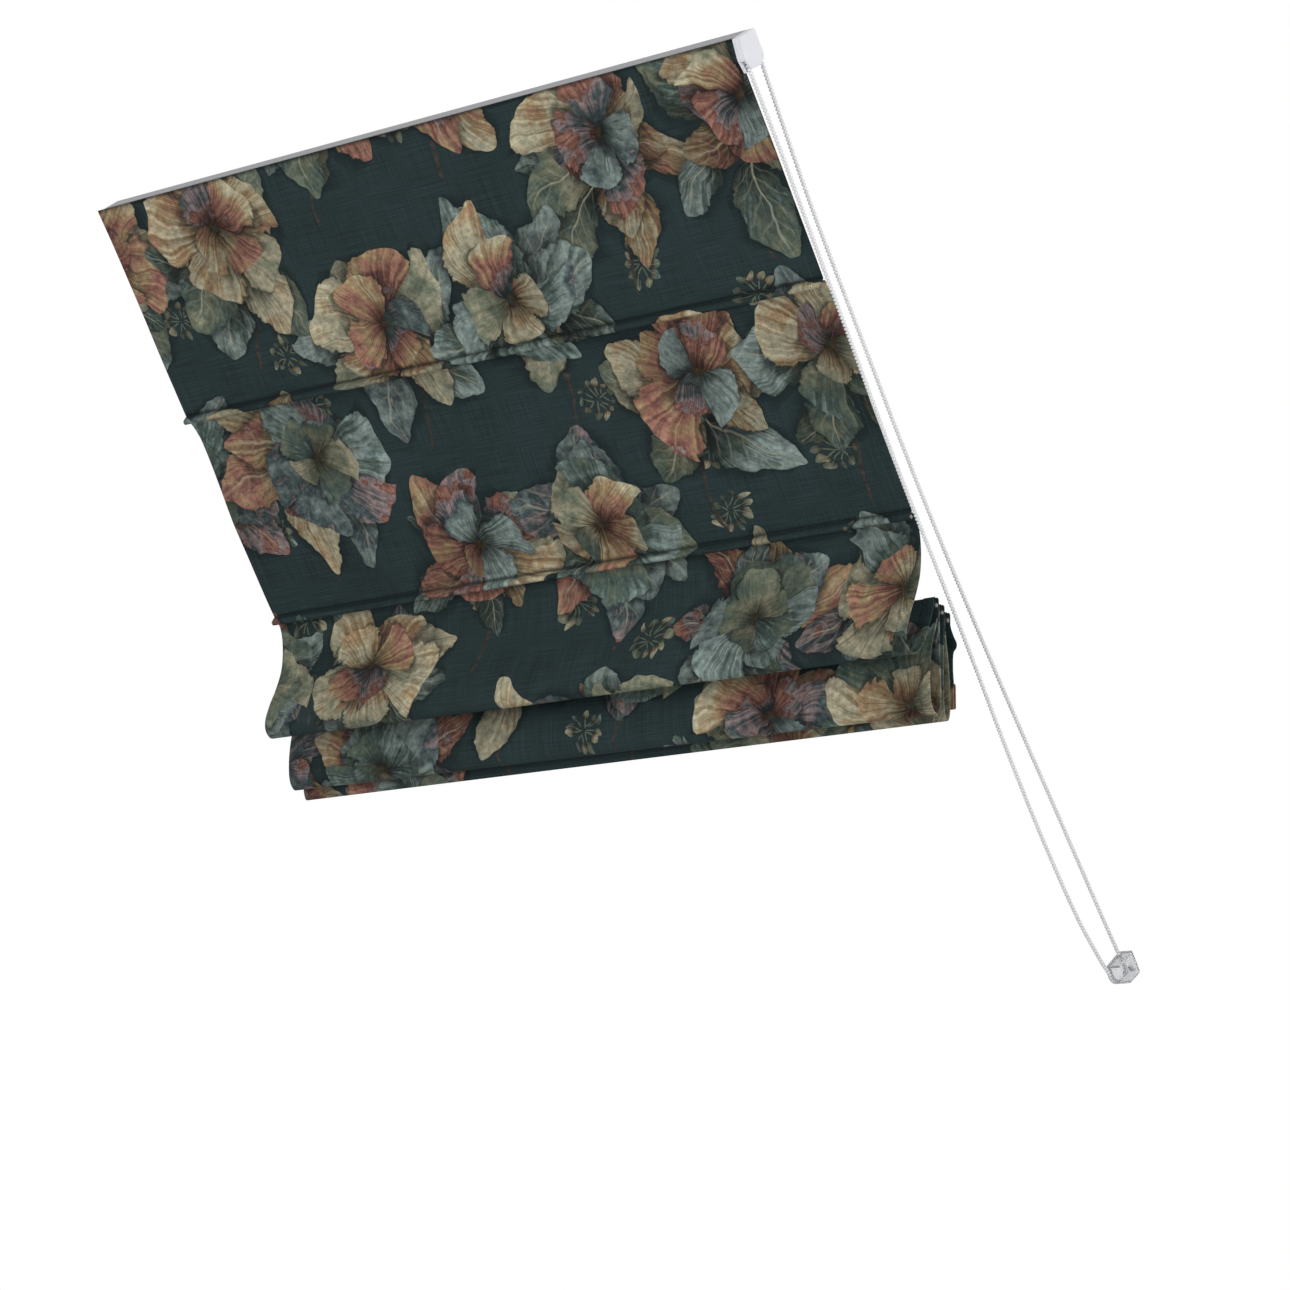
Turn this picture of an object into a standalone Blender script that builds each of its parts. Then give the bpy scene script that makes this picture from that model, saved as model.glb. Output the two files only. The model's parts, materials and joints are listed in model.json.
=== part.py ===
"""Roman blind for a skylight in a steep roof slope, half drawn up.

Places are given as (a, n, b): a runs along the width from the cloth's left edge, n from the cloth's
front face towards the ceiling, and b down the slope from the cloth's top edge. Folds that hang free
are drawn plumb, as (back, down) from the cloth's top front edge. All lengths are in metres.
"""

import math

import bmesh
import bpy
from mathutils import Vector

MM = 0.001

# Roof slope and clearances
SLOPE_PITCH = math.radians(54.77)
TILT = math.pi / 2 - SLOPE_PITCH
GAP = 0.3 * MM
OVERLAP = 0.5 * MM

# Cloth
CLOTH_WIDTH = 896 * MM
CLOTH = 0.8 * MM
CLOTH_SPANS = 3

# Hook and loop strips that hold the cloth
STRIP = 0.6 * MM
STRIP_DROP = 20 * MM
STRIP_TOP = 3 * MM
STRIP_INSET = 3 * MM

# Headrail
RAIL_DEPTH = 23.1 * MM
RAIL_DROP = 32 * MM
RAIL_WALL = 1.2 * MM
RAIL_LIP = 2 * MM
RAIL_INSET = 10 * MM
CHANNEL_DEPTH = 2.2 * MM
CHANNEL_DROP = 22.4 * MM
SLOT_DROP = 17 * MM

# Ceiling brackets
BRACKET_INSET = 110 * MM
BRACKET_WIDTH = 22 * MM
BRACKET_FOOT = 3.6 * MM
BRACKET_TOP = 3 * MM
BRACKET_TAIL = 18 * MM
BRACKET_HEAD = 1.6 * MM
BRACKET_NECK_DROP = 14 * MM

# Screws
SCREW_RADIUS = 1.75 * MM
SCREW_HEAD_RADIUS = 3.5 * MM
SCREW_HEAD = 2.2 * MM
SCREW_SLOT = 0.9 * MM
SCREW_SLOT_REACH = 2.0 * MM
SCREW_SLOT_DEPTH = 1.2 * MM
SCREW_TAIL_INSET = 8 * MM

# Lift shaft, spools and their cradles
SHAFT = 4 * MM
SHAFT_DROP = 16 * MM
SHAFT_BACK = 11.2 * MM
CORD_INSET = 150 * MM
SPOOL_CORE = 5.2 * MM
SPOOL_FLANGE = 6.6 * MM
SPOOL_FLANGE_WIDTH = 1.2 * MM
SPOOL_WIDTH = 22.8 * MM
JOURNAL = 4.2 * MM
CRADLE_WALL = 2.3 * MM
CORD = 1.4 * MM

# Chain drive
DRIVE_PLATE = 2.3 * MM
DRIVE_RIM = 5.6 * MM
DRIVE_FACE = 1.0 * MM
DRIVE_WALL = 1.2 * MM
PLUG_LENGTH = 12 * MM
END_CAP = 2.2 * MM
CHAIN = 3.0 * MM
WHEEL_PITCH = 11.9 * MM
WHEEL_RIM = 12.6 * MM
WHEEL_FLANGE = 0.8 * MM
POCKETS = 20
POCKET_RADIUS = 1.6 * MM
HUB_RADIUS = 4.1 * MM
SPRING_WIRE = 0.7 * MM
SPRING_TURNS = 5

# Chain tensioner
CEILING = 30 * MM
TENSIONER_DROP = 1054.3 * MM
TENSIONER_BACK = 10.9 * MM
TENSIONER_OUT = 26.2 * MM
GUIDE_PITCH = 13.5 * MM
GUIDE_RIM = 15.5 * MM
GUIDE_CHEEK = 0.8 * MM
GUIDE_TOP = 10.3 * MM
TENSIONER_FOOT = 15.7 * MM
TENSIONER_CORNER = 1.5 * MM
TENSIONER_PLATE = 3 * MM
TENSIONER_WALL = 1.8 * MM
TENSIONER_FLOOR = 2.4 * MM
TENSIONER_RIGHT = 13.6 * MM
TENSIONER_SCREW_OUT = 7.8 * MM
TENSIONER_SCREW_DROP = 8.3 * MM
TENSIONER_SCREW_HEAD = 4 * MM

# Rods, their sewn tunnels and the cord rings
ROD_RADIUS = 2 * MM
ROD_PROUD = 1 * MM
TUNNEL_REACH = 5.6 * MM
TUNNEL_STEPS = 8
RING_RADIUS = 6 * MM
RING_WIRE = 0.8 * MM
RING_SEAT = 2.2 * MM
APEX_RING_SEAT = 5.1 * MM
CORD_OFFSET = 1.5 * MM

# Bottom bar
BAR_DROP = 22 * MM
BAR = 2.4 * MM
BAR_INSET = 3 * MM
BAR_BACK = 363.4 * MM

# Stitch lines of the rods: the first two on the slope, the others at the stack's fold tops
FLAT_STITCHES = [(-2.3 * MM, 255.6 * MM), (-2.4 * MM, 511.5 * MM)]
APEX_STITCHES = [(332.5 * MM, 502.2 * MM), (342.5 * MM, 508.2 * MM), (352.5 * MM, 514.8 * MM)]

# Cloth between the stitch lines: the flat panels on the slope, the folds plumb
PANEL_1 = [(0.4, 0), (0.1, 60), (-0.8, 129), (-2.0, 200), (-2.3, 240), (-2.35, 252.6)]
PANEL_2 = [
    (0.2, 262.5),
    (2.4, 270),
    (4.3, 281),
    (4.6, 292),
    (3.6, 315),
    (1.2, 345),
    (-1.4, 375),
    (-2.6, 395),
    (-2.9, 440),
    (-2.6, 490),
    (-2.45, 508.5),
]
LOOP_3 = [
    (301.5, 428.5),
    (305, 441),
    (306.3, 460),
    (304, 481),
    (296, 503),
    (286, 524),
    (279.5, 543),
    (280.5, 556),
    (289, 563.5),
    (300, 560.5),
    (310, 550),
    (317, 537),
    (323, 523),
    (327.4, 513),
]
FOLD_4 = [
    (334.8, 520),
    (330, 533),
    (324, 550),
    (320.5, 570),
    (319.5, 590),
    (321, 607),
    (325.5, 616.5),
    (331, 619.5),
    (336.3, 616),
    (339, 606),
    (339.4, 590),
    (338.6, 565),
    (338, 540),
    (338.2, 522),
]
FOLD_5 = [
    (345.2, 535),
    (343.8, 560),
    (343.2, 590),
    (344, 610),
    (346.5, 620.5),
    (350, 623.8),
    (353.5, 620),
    (355.3, 608),
    (355, 585),
    (352.5, 560),
    (349.6, 542),
    (348.5, 529),
]
TAIL = [(358, 529), (363, 536.5), (367.5, 542), (366.5, 546.5), (362.5, 550.5), (360.5, 558), (360.3, 572)]
LOOP_3_LEFT_SHARE = 0.96
FOLD_4_LEFT_SHARE = 0.94
FOLD_5_LEFT_SHARE = 0.99
HEM_TOP = 585 * MM

# Bead chain strands between the drive and the tensioner
FRONT_STRAND = [
    (-1.2, 33),
    (-2.6, 107),
    (-5.6, 170),
    (-8.6, 233),
    (-11.5, 297),
    (-14.9, 361),
    (-17.8, 425),
    (-19.6, 491),
    (-20.2, 560),
    (-20.9, 627),
    (-22.5, 695),
    (-24.9, 762),
    (-25.6, 832),
    (-24.2, 903),
    (-19.5, 977),
    (-9.2, 1035),
]
REAR_STRAND = [
    (22.6, 35),
    (20.9, 52),
    (15.5, 114),
    (10.8, 176),
    (8.2, 239),
    (6.6, 305),
    (5.0, 370),
    (3.5, 435),
    (2.8, 501),
    (3.6, 571),
    (5.4, 640),
    (7.8, 710),
    (10.9, 781),
    (14.8, 855),
    (18.3, 928),
    (21.8, 1001),
    (24.1, 1038),
]

# Drive outlines on the side, each corner with its rounding
COVER_OUTLINE = [
    (-2.3, 0, 0.8),
    (-6.8, 21, 4),
    (-1.6, 33.5, 1.8),
    (15, 34.6, 5),
    (24.6, 30.5, 3),
    (26.3, 24, 3),
    (26.3, 0, 0.8),
]
PLATE_OUTLINE = [
    (-2.3, 0, 0.8),
    (-6.4, 21, 4),
    (-3.4, 35.6, 1.2),
    (2.5, 35.6, 1.2),
    (15, 34.6, 5),
    (24.6, 30.5, 3),
    (26.3, 24, 3),
    (26.3, 0, 0.8),
]

# Places worked out from the sizes above
STRIP_NEAR = CLOTH + GAP
RAIL_FRONT = STRIP_NEAR + 2 * STRIP + 2 * GAP + 0.3 * MM
RAIL_BACK = RAIL_FRONT + RAIL_DEPTH
RAIL_INNER_FRONT = RAIL_FRONT + RAIL_WALL
CHANNEL_FLOOR = RAIL_BACK - RAIL_WALL - CHANNEL_DEPTH
RAIL_INNER_BACK = CHANNEL_FLOOR - RAIL_WALL
RAIL_END = CLOTH_WIDTH
BRACKET_MID = RAIL_DROP / 2
TAIL_SCREW_DROP = RAIL_DROP + BRACKET_TAIL - SCREW_TAIL_INSET
CAP_LEFT = RAIL_INSET - GAP - END_CAP
PLATE_NEAR = RAIL_END + GAP
COVER_NEAR = PLATE_NEAR + DRIVE_PLATE + GAP
COVER_INSIDE = COVER_NEAR + DRIVE_RIM
WHEEL_NEAR = COVER_NEAR
WHEEL_FAR = COVER_INSIDE - GAP
WHEEL_MID = (WHEEL_NEAR + WHEEL_FAR) / 2
HUB_NEAR = RAIL_END - PLUG_LENGTH + 0.5 * MM
SOCKET_HALF = SHAFT / 2 + GAP
GUIDE_MID = CLOTH_WIDTH + TENSIONER_OUT
GUIDE_WIDTH = CHAIN + 2 * GAP + 2 * GUIDE_CHEEK
TUNNEL_RADIUS = ROD_RADIUS + GAP + CLOTH / 2
NECK_HALF = CLOTH / 2 + GAP
SHOULDER_RADIUS = 1.65 * MM
PLY_REACH = NECK_HALF + 2 * SHOULDER_RADIUS
SEAM = 0.4 * MM
SPRING_MEAN = HUB_RADIUS + GAP + SPRING_WIRE / 2
BORE_RADIUS = SPRING_MEAN + SPRING_WIRE / 2 + GAP
ORIGIN = Vector((BRACKET_INSET, CEILING, BRACKET_MID))

for leftover in list(bpy.data.objects):
    bpy.data.objects.remove(leftover)

parts = bpy.data.collections.new("skylight_window_blind")
cutters = bpy.data.collections.new("cutters")
bpy.context.scene.collection.children.link(parts)
bpy.context.scene.collection.children.link(cutters)
slope = bpy.data.objects.new("slope", None)
slope.rotation_euler = (TILT, 0, 0)
parts.objects.link(slope)


def material(name, colour, roughness, metallic=0.0, alpha=1.0):
    made = bpy.data.materials.new(name)
    made.use_nodes = True
    shader = made.node_tree.nodes["Principled BSDF"]
    shader.inputs["Base Color"].default_value = (*colour, 1)
    shader.inputs["Roughness"].default_value = roughness
    shader.inputs["Metallic"].default_value = metallic
    shader.inputs["Alpha"].default_value = alpha
    return made


RAIL_PAINT = material("rail_paint", (0.56, 0.56, 0.58), 0.45)
WHITE_PLASTIC = material("white_plastic", (0.80, 0.81, 0.84), 0.35)
DARK_CLOTH = material("dark_cloth", (0.035, 0.055, 0.06), 0.85)
FIBREGLASS = material("fibreglass", (0.80, 0.78, 0.70), 0.4)
WHITE_CORD = material("white_cord", (0.78, 0.78, 0.76), 0.7)
CHAIN_PLASTIC = material("chain_plastic", (0.82, 0.82, 0.83), 0.35)
CLEAR_PLASTIC = material("clear_plastic", (0.70, 0.73, 0.75), 0.1, alpha=0.4)
STEEL = material("steel", (0.62, 0.62, 0.63), 0.3, 1.0)
CHROME = material("chrome", (0.75, 0.75, 0.76), 0.1, 1.0)
BLACK_STRIP = material("black_strip", (0.03, 0.03, 0.03), 0.9)


def spot(a, n, b):
    """A place on the slope, in the axes of the slope empty."""
    return Vector((a - ORIGIN.x, n - ORIGIN.y, ORIGIN.z - b))


def hanging(back, down):
    """(n, b) of a point drawn level and plumb from the cloth's top front edge."""
    return (
        back * math.cos(TILT) - down * math.sin(TILT),
        back * math.sin(TILT) + down * math.cos(TILT),
    )


def scaled(points):
    """Points written in millimetres, in metres."""
    return [(first * MM, second * MM) for first, second in points]


def add(obj, paint, is_cutter=False):
    """Puts an object on the slope, among the parts or the cutters."""
    for collection in list(obj.users_collection):
        collection.objects.unlink(obj)
    (cutters if is_cutter else parts).objects.link(obj)
    obj.parent = slope
    if is_cutter:
        obj.hide_render = True
        obj.display_type = "WIRE"
    elif not obj.data.materials:
        obj.data.materials.append(paint)
    return obj


def box(name, low, high, paint=None, is_cutter=False):
    """A box between two (a, n, b) corners."""
    mesh = bpy.data.meshes.new(name)
    form = bmesh.new()
    bmesh.ops.create_cube(form, size=1)
    size = [abs(h - l) for l, h in zip(low, high)]
    bmesh.ops.scale(form, vec=size, verts=form.verts)
    form.to_mesh(mesh)
    form.free()
    obj = bpy.data.objects.new(name, mesh)
    obj.location = spot(*[(l + h) / 2 for l, h in zip(low, high)])
    return add(obj, paint, is_cutter)


def smooth(obj):
    obj.data.shade_smooth()
    obj.data.set_sharp_from_angle(angle=math.radians(40))
    return obj


def cylinder(name, centre, radius, depth, axis, paint=None, is_cutter=False, sides=24):
    """A cylinder about a (a, n, b) centre, along a or n."""
    mesh = bpy.data.meshes.new(name)
    form = bmesh.new()
    bmesh.ops.create_cone(
        form, cap_ends=True, segments=sides, radius1=radius, radius2=radius, depth=depth
    )
    form.to_mesh(mesh)
    form.free()
    obj = bpy.data.objects.new(name, mesh)
    obj.location = spot(*centre)
    obj.rotation_euler = (0, math.pi / 2, 0) if axis == "a" else (math.pi / 2, 0, 0)
    return smooth(add(obj, paint, is_cutter))


def as_mesh(curve_obj, paint, is_cutter):
    """The welded mesh of a curve object, in its place."""
    graph = bpy.context.evaluated_depsgraph_get()
    mesh = bpy.data.meshes.new_from_object(curve_obj.evaluated_get(graph))
    form = bmesh.new()
    form.from_mesh(mesh)
    bmesh.ops.remove_doubles(form, verts=form.verts, dist=1e-6)
    bmesh.ops.recalc_face_normals(form, faces=form.faces)
    form.to_mesh(mesh)
    form.free()
    name = curve_obj.name
    place = curve_obj.location.copy()
    turn = curve_obj.rotation_euler.copy()
    bpy.data.objects.remove(curve_obj)
    obj = bpy.data.objects.new(name, mesh)
    obj.location = place
    obj.rotation_euler = turn
    return add(obj, paint, is_cutter)


def section(name, outline, a_low, a_high, paint=None, is_cutter=False):
    """A closed (n, b) outline, extruded along the width."""
    curve = bpy.data.curves.new(name, "CURVE")
    curve.dimensions = "2D"
    curve.fill_mode = "BOTH"
    curve.extrude = (a_high - a_low) / 2
    spline = curve.splines.new("POLY")
    spline.points.add(len(outline) - 1)
    for point, (n, b) in zip(spline.points, outline):
        place = spot(0, n, b)
        point.co = (place.y, place.z, 0, 1)
    spline.use_cyclic_u = True
    obj = bpy.data.objects.new(name, curve)
    obj.rotation_euler = (math.pi / 2, 0, math.pi / 2)
    obj.location = (spot((a_low + a_high) / 2, 0, 0).x, 0, 0)
    return as_mesh(add(obj, paint, is_cutter), paint, is_cutter)


def rounded(corners, steps=4):
    """An outline with each (n, b, radius) corner, in millimetres, replaced by an arc."""
    outline = []
    count = len(corners)
    for index, (n, b, radius) in enumerate(corners):
        here = Vector((n, b))
        before = (Vector(corners[index - 1][:2]) - here).normalized()
        after = (Vector(corners[(index + 1) % count][:2]) - here).normalized()
        half = before.angle(after) / 2
        reach = radius / math.tan(half)
        centre = here + (before + after).normalized() * radius / math.sin(half)
        start = here + before * reach - centre
        end = here + after * reach - centre
        sweep = math.pi - 2 * half
        for step in range(steps + 1):
            share = step / steps
            turned_to = (
                start * math.sin((1 - share) * sweep) + end * math.sin(share * sweep)
            ) / math.sin(sweep)
            outline.append(tuple((centre + turned_to) * MM))
    return outline


def inset(corners, wall):
    """The (n, b, radius) corners of an outline moved inwards by a wall."""
    middle = sum((Vector(c[:2]) for c in corners), Vector((0, 0))) / len(corners)
    lines = []
    for first, second in zip(corners, corners[1:] + corners[:1]):
        start = Vector(first[:2])
        along = (Vector(second[:2]) - start).normalized()
        across = Vector((-along.y, along.x))
        if (middle - start).dot(across) < 0:
            across = -across
        lines.append((start + across * wall / MM, along))
    moved = []
    for index, corner in enumerate(corners):
        (p, r), (q, s) = lines[index - 1], lines[index]
        reach = (q - p).cross(s) / r.cross(s)
        meet = p + r * reach
        moved.append((meet.x, meet.y, max(corner[2] - wall / MM, 0.3)))
    return moved


def apply_boolean(obj, other, operation):
    step = obj.modifiers.new(operation.lower(), "BOOLEAN")
    step.operation = operation
    step.object = other
    return obj


def cut(obj, *tools):
    for tool in tools:
        apply_boolean(obj, tool, "DIFFERENCE")
    return obj


def join(obj, *others):
    for other in others:
        apply_boolean(obj, other, "UNION")
    return obj


def turned(name, profile, place, axis, paint=None, closed=False, steps=24):
    """A profile of (radius, height) points, from the top down, turned about the a or the n axis."""
    mesh = bpy.data.meshes.new(name)
    points = [(radius, 0, height) for radius, height in profile]
    edges = [(i, i + 1) for i in range(len(points) - 1)]
    if closed:
        edges.append((len(points) - 1, 0))
    mesh.from_pydata(points, edges, [])
    obj = bpy.data.objects.new(name, mesh)
    obj.location = spot(*place)
    obj.rotation_euler = (0, math.pi / 2, 0) if axis == "a" else (math.pi / 2, 0, 0)
    spin = obj.modifiers.new("spin", "SCREW")
    spin.steps = steps
    spin.render_steps = steps
    spin.use_merge_vertices = True
    spin.merge_threshold = 0.00001
    spin.use_smooth_shade = False
    return add(obj, paint)


def tube(name, points, radius, paint, cyclic=False, sides=2):
    """A round tube along (a, n, b) points."""
    curve = bpy.data.curves.new(name, "CURVE")
    curve.dimensions = "3D"
    curve.bevel_depth = radius
    curve.bevel_resolution = sides
    curve.use_fill_caps = not cyclic
    spline = curve.splines.new("POLY")
    spline.points.add(len(points) - 1)
    for point, place in zip(spline.points, points):
        point.co = (*spot(*place), 1)
    spline.use_cyclic_u = cyclic
    return add(bpy.data.objects.new(name, curve), paint)


def through(points, steps=2):
    """A smooth line through points, with steps to each stretch between two of them."""
    line = []
    last = len(points) - 1
    for index in range(last):
        p0 = Vector(points[max(index - 1, 0)])
        p1 = Vector(points[index])
        p2 = Vector(points[index + 1])
        p3 = Vector(points[min(index + 2, last)])
        for step in range(steps):
            t = step / steps
            line.append(
                0.5
                * (
                    2 * p1
                    + (p2 - p0) * t
                    + (2 * p0 - 5 * p1 + 4 * p2 - p3) * t**2
                    + (3 * p1 - p0 - 3 * p2 + p3) * t**3
                )
            )
    line.append(Vector(points[last]))
    return line


class Stitch:
    """A stitch line across the cloth, with the tunnel for its rod sewn in front of it."""

    def __init__(self, neck, reach):
        self.neck = Vector(neck)
        self.along = Vector(reach).normalized()
        self.across = Vector((self.along.y, -self.along.x))
        self.rod = self.at(TUNNEL_REACH, 0)

    def at(self, along, across):
        """(n, b) of a point so far towards the rod and so far across, on the leaving side."""
        return self.neck + self.along * along + self.across * across

    def tunnel(self):
        """The cloth from the stitch line, round the rod and back to the stitch line."""
        half = math.pi - math.acos((TUNNEL_RADIUS - NECK_HALF) / TUNNEL_REACH)
        line = [self.at(0, -NECK_HALF)]
        for step in range(TUNNEL_STEPS + 1):
            angle = half * (2 * step / TUNNEL_STEPS - 1)
            line.append(
                self.at(
                    TUNNEL_REACH + TUNNEL_RADIUS * math.cos(angle),
                    TUNNEL_RADIUS * math.sin(angle),
                )
            )
        line.append(self.at(0, NECK_HALF))
        return line

    def shoulder(self, side, steps=4):
        """The round top that the cloth turns over beside the stitch line, from outside to inside."""
        centre = (NECK_HALF + SHOULDER_RADIUS) * side
        line = []
        for step in range(steps + 1):
            angle = math.pi * step / steps
            line.append(
                self.at(
                    -SHOULDER_RADIUS * math.sin(angle),
                    centre + side * SHOULDER_RADIUS * math.cos(angle),
                )
            )
        return line


FLAT_REACH = (-0.955, 0.297)
PLUMB = hanging(0, 1)
STITCHES = [Stitch(place, FLAT_REACH) for place in FLAT_STITCHES]
STITCHES += [Stitch(hanging(*place), PLUMB) for place in APEX_STITCHES]


def fold(points, share=1.0, top=0.0):
    """Fold points in millimetres, plumb, as (n, b), with the drop below top taken to a share."""
    return [hanging(back * MM, (top + (down - top) * share) * MM) for back, down in points]


def leave_flat(stitch):
    """The cloth that turns down from a stitch line on the slope."""
    start = stitch.at(-SEAM, NECK_HALF)
    return [start, stitch.at(-1.0 * MM, 1.3 * MM), stitch.at(-1.2 * MM, 2.6 * MM)]


def leave_apex(stitch):
    """The cloth that turns over a fold top, from a stitch line to the leaving ply."""
    line = list(reversed(stitch.shoulder(1)))
    line[0] = stitch.at(-SEAM, NECK_HALF)
    return line + [stitch.at(TUNNEL_REACH, PLY_REACH), stitch.at(9.5 * MM, PLY_REACH)]


def meet_apex(stitch):
    """The cloth that comes up beside a tunnel and turns over to its stitch line."""
    return [stitch.at(TUNNEL_REACH, -PLY_REACH)] + stitch.shoulder(-1)[:-1]


def cloth(name, right, left=None, a_low=0.0, a_high=CLOTH_WIDTH, thickness=CLOTH):
    """A sheet lofted between its (n, b) lines at the left and the right edge, then thickened."""
    left = left or right
    form = bmesh.new()
    rows = []
    for column in range(CLOTH_SPANS + 1):
        share = column / CLOTH_SPANS
        a = a_low + (a_high - a_low) * share
        line = [Vector(l).lerp(Vector(r), share) for l, r in zip(left, right)]
        rows.append([form.verts.new(spot(a, *point)) for point in line])
    for first, second in zip(rows, rows[1:]):
        for index in range(len(first) - 1):
            form.faces.new((first[index], first[index + 1], second[index + 1], second[index]))
    bmesh.ops.recalc_face_normals(form, faces=form.faces)
    mesh = bpy.data.meshes.new(name)
    form.to_mesh(mesh)
    form.free()
    obj = bpy.data.objects.new(name, mesh)
    thick = obj.modifiers.new("thickness", "SOLIDIFY")
    thick.thickness = thickness
    thick.offset = 0
    thick.use_even_offset = True
    mesh.shade_smooth()
    return add(obj, DARK_CLOTH)


def make_cloth():
    first, second, third, fourth, fifth = STITCHES
    panel_1 = through(scaled(PANEL_1), 1) + first.tunnel()[1:]
    cloth("fabric_panel_1", panel_1)
    panel_2 = leave_flat(first) + through(scaled(PANEL_2), 1) + second.tunnel()[1:]
    cloth("fabric_panel_2", panel_2)

    def loop_3(share):
        free = fold(LOOP_3, share, LOOP_3[0][1])
        return leave_flat(second) + through(free) + meet_apex(third) + third.tunnel()[1:]

    cloth("fabric_loop_3", loop_3(1), loop_3(LOOP_3_LEFT_SHARE))

    def gathered(upper, points, lower, share):
        free = fold(points, share, points[0][1])
        return leave_apex(upper) + through(free) + meet_apex(lower) + lower.tunnel()[1:]

    right = gathered(third, FOLD_4, fourth, 1)
    cloth("fabric_fold_4", right, gathered(third, FOLD_4, fourth, FOLD_4_LEFT_SHARE))
    right = gathered(fourth, FOLD_5, fifth, 1)
    cloth("fabric_fold_5", right, gathered(fourth, FOLD_5, fifth, FOLD_5_LEFT_SHARE))
    make_tail(fifth)


def bar_centre():
    """(back, down) of the bottom bar's middle, in the hem below the tail."""
    return BAR_BACK, HEM_TOP + CLOTH + GAP + BAR_DROP / 2


def make_tail(stitch):
    back, down = bar_centre()
    reach = BAR / 2 + GAP + CLOTH / 2
    bottom = down + BAR_DROP / 2 + GAP
    hem = [
        (back - reach, HEM_TOP),
        (back - reach, down),
        (back - reach, bottom),
        (back - 0.6 * reach, bottom + 0.7 * reach),
        (back + 0.6 * reach, bottom + 0.7 * reach),
        (back + reach, bottom),
        (back + reach, down),
        (back + reach, HEM_TOP + CLOTH),
        (back + 0.3 * reach, HEM_TOP - CLOTH),
    ]
    line = leave_apex(stitch) + through(fold(TAIL)) + [hanging(*point) for point in hem]
    cloth("fabric_tail", line)
    n, b = hanging(back, down)
    bar = box(
        "bottom_bar",
        (BAR_INSET, n - BAR / 2, b - BAR_DROP / 2),
        (CLOTH_WIDTH - BAR_INSET, n + BAR / 2, b + BAR_DROP / 2),
        FIBREGLASS,
    )
    bar.rotation_euler = (-TILT, 0, 0)


def make_strips():
    low = STRIP_INSET
    high = CLOTH_WIDTH - STRIP_INSET
    bottom = STRIP_TOP + STRIP_DROP
    near = STRIP_NEAR
    box("loop_strip", (low, near, STRIP_TOP), (high, near + STRIP, bottom), BLACK_STRIP)
    near += STRIP + GAP
    low = RAIL_INSET + STRIP_INSET
    box("hook_strip", (low, near, STRIP_TOP), (high, near + STRIP, bottom), BLACK_STRIP)


def make_headrail():
    lip_end = RAIL_DROP - RAIL_WALL
    slot_top = BRACKET_MID - SLOT_DROP / 2
    slot_bottom = BRACKET_MID + SLOT_DROP / 2
    channel_top = BRACKET_MID - CHANNEL_DROP / 2
    channel_bottom = BRACKET_MID + CHANNEL_DROP / 2
    lip_back = RAIL_BACK - RAIL_WALL
    outline = [
        (RAIL_FRONT, 0),
        (RAIL_BACK, 0),
        (RAIL_BACK, slot_top),
        (lip_back, slot_top),
        (lip_back, channel_top),
        (CHANNEL_FLOOR, channel_top),
        (CHANNEL_FLOOR, channel_bottom),
        (lip_back, channel_bottom),
        (lip_back, slot_bottom),
        (RAIL_BACK, slot_bottom),
        (RAIL_BACK, RAIL_DROP),
        (RAIL_INNER_BACK, RAIL_DROP),
        (RAIL_INNER_BACK, RAIL_WALL),
        (RAIL_INNER_FRONT, RAIL_WALL),
        (RAIL_INNER_FRONT, lip_end),
        (RAIL_INNER_FRONT + RAIL_LIP, lip_end),
        (RAIL_INNER_FRONT + RAIL_LIP, RAIL_DROP),
        (RAIL_FRONT, RAIL_DROP),
    ]
    section("headrail", outline, RAIL_INSET, RAIL_END, RAIL_PAINT)


def plug(name, a_low, a_high, paint=None, is_cutter=True):
    """A block that fits inside the headrail."""
    low = (a_low, RAIL_INNER_FRONT + GAP, RAIL_WALL + GAP)
    high = (a_high, RAIL_INNER_BACK - GAP, RAIL_DROP - RAIL_WALL - GAP)
    return box(name, low, high, paint, is_cutter)


def make_end_cap():
    corners = [
        (RAIL_FRONT / MM, 0, 0.8),
        (RAIL_BACK / MM, 0, 0.8),
        (RAIL_BACK / MM, RAIL_DROP / MM, 3),
        (RAIL_FRONT / MM, RAIL_DROP / MM, 3),
    ]
    cap = section("left_end_cap", rounded(corners), CAP_LEFT, CAP_LEFT + END_CAP, WHITE_PLASTIC)
    inner = plug("left_plug", CAP_LEFT + END_CAP - OVERLAP, RAIL_INSET + PLUG_LENGTH)
    bore_start = CAP_LEFT + END_CAP + 1.5 * MM
    bore_end = RAIL_INSET + PLUG_LENGTH + OVERLAP
    bore = cylinder(
        "left_bore",
        ((bore_start + bore_end) / 2, SHAFT_BACK, SHAFT_DROP),
        SHAFT * math.sqrt(0.5) + GAP,
        bore_end - bore_start,
        "a",
        is_cutter=True,
    )
    cut(join(cap, inner), bore)
    return bore_start


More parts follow.
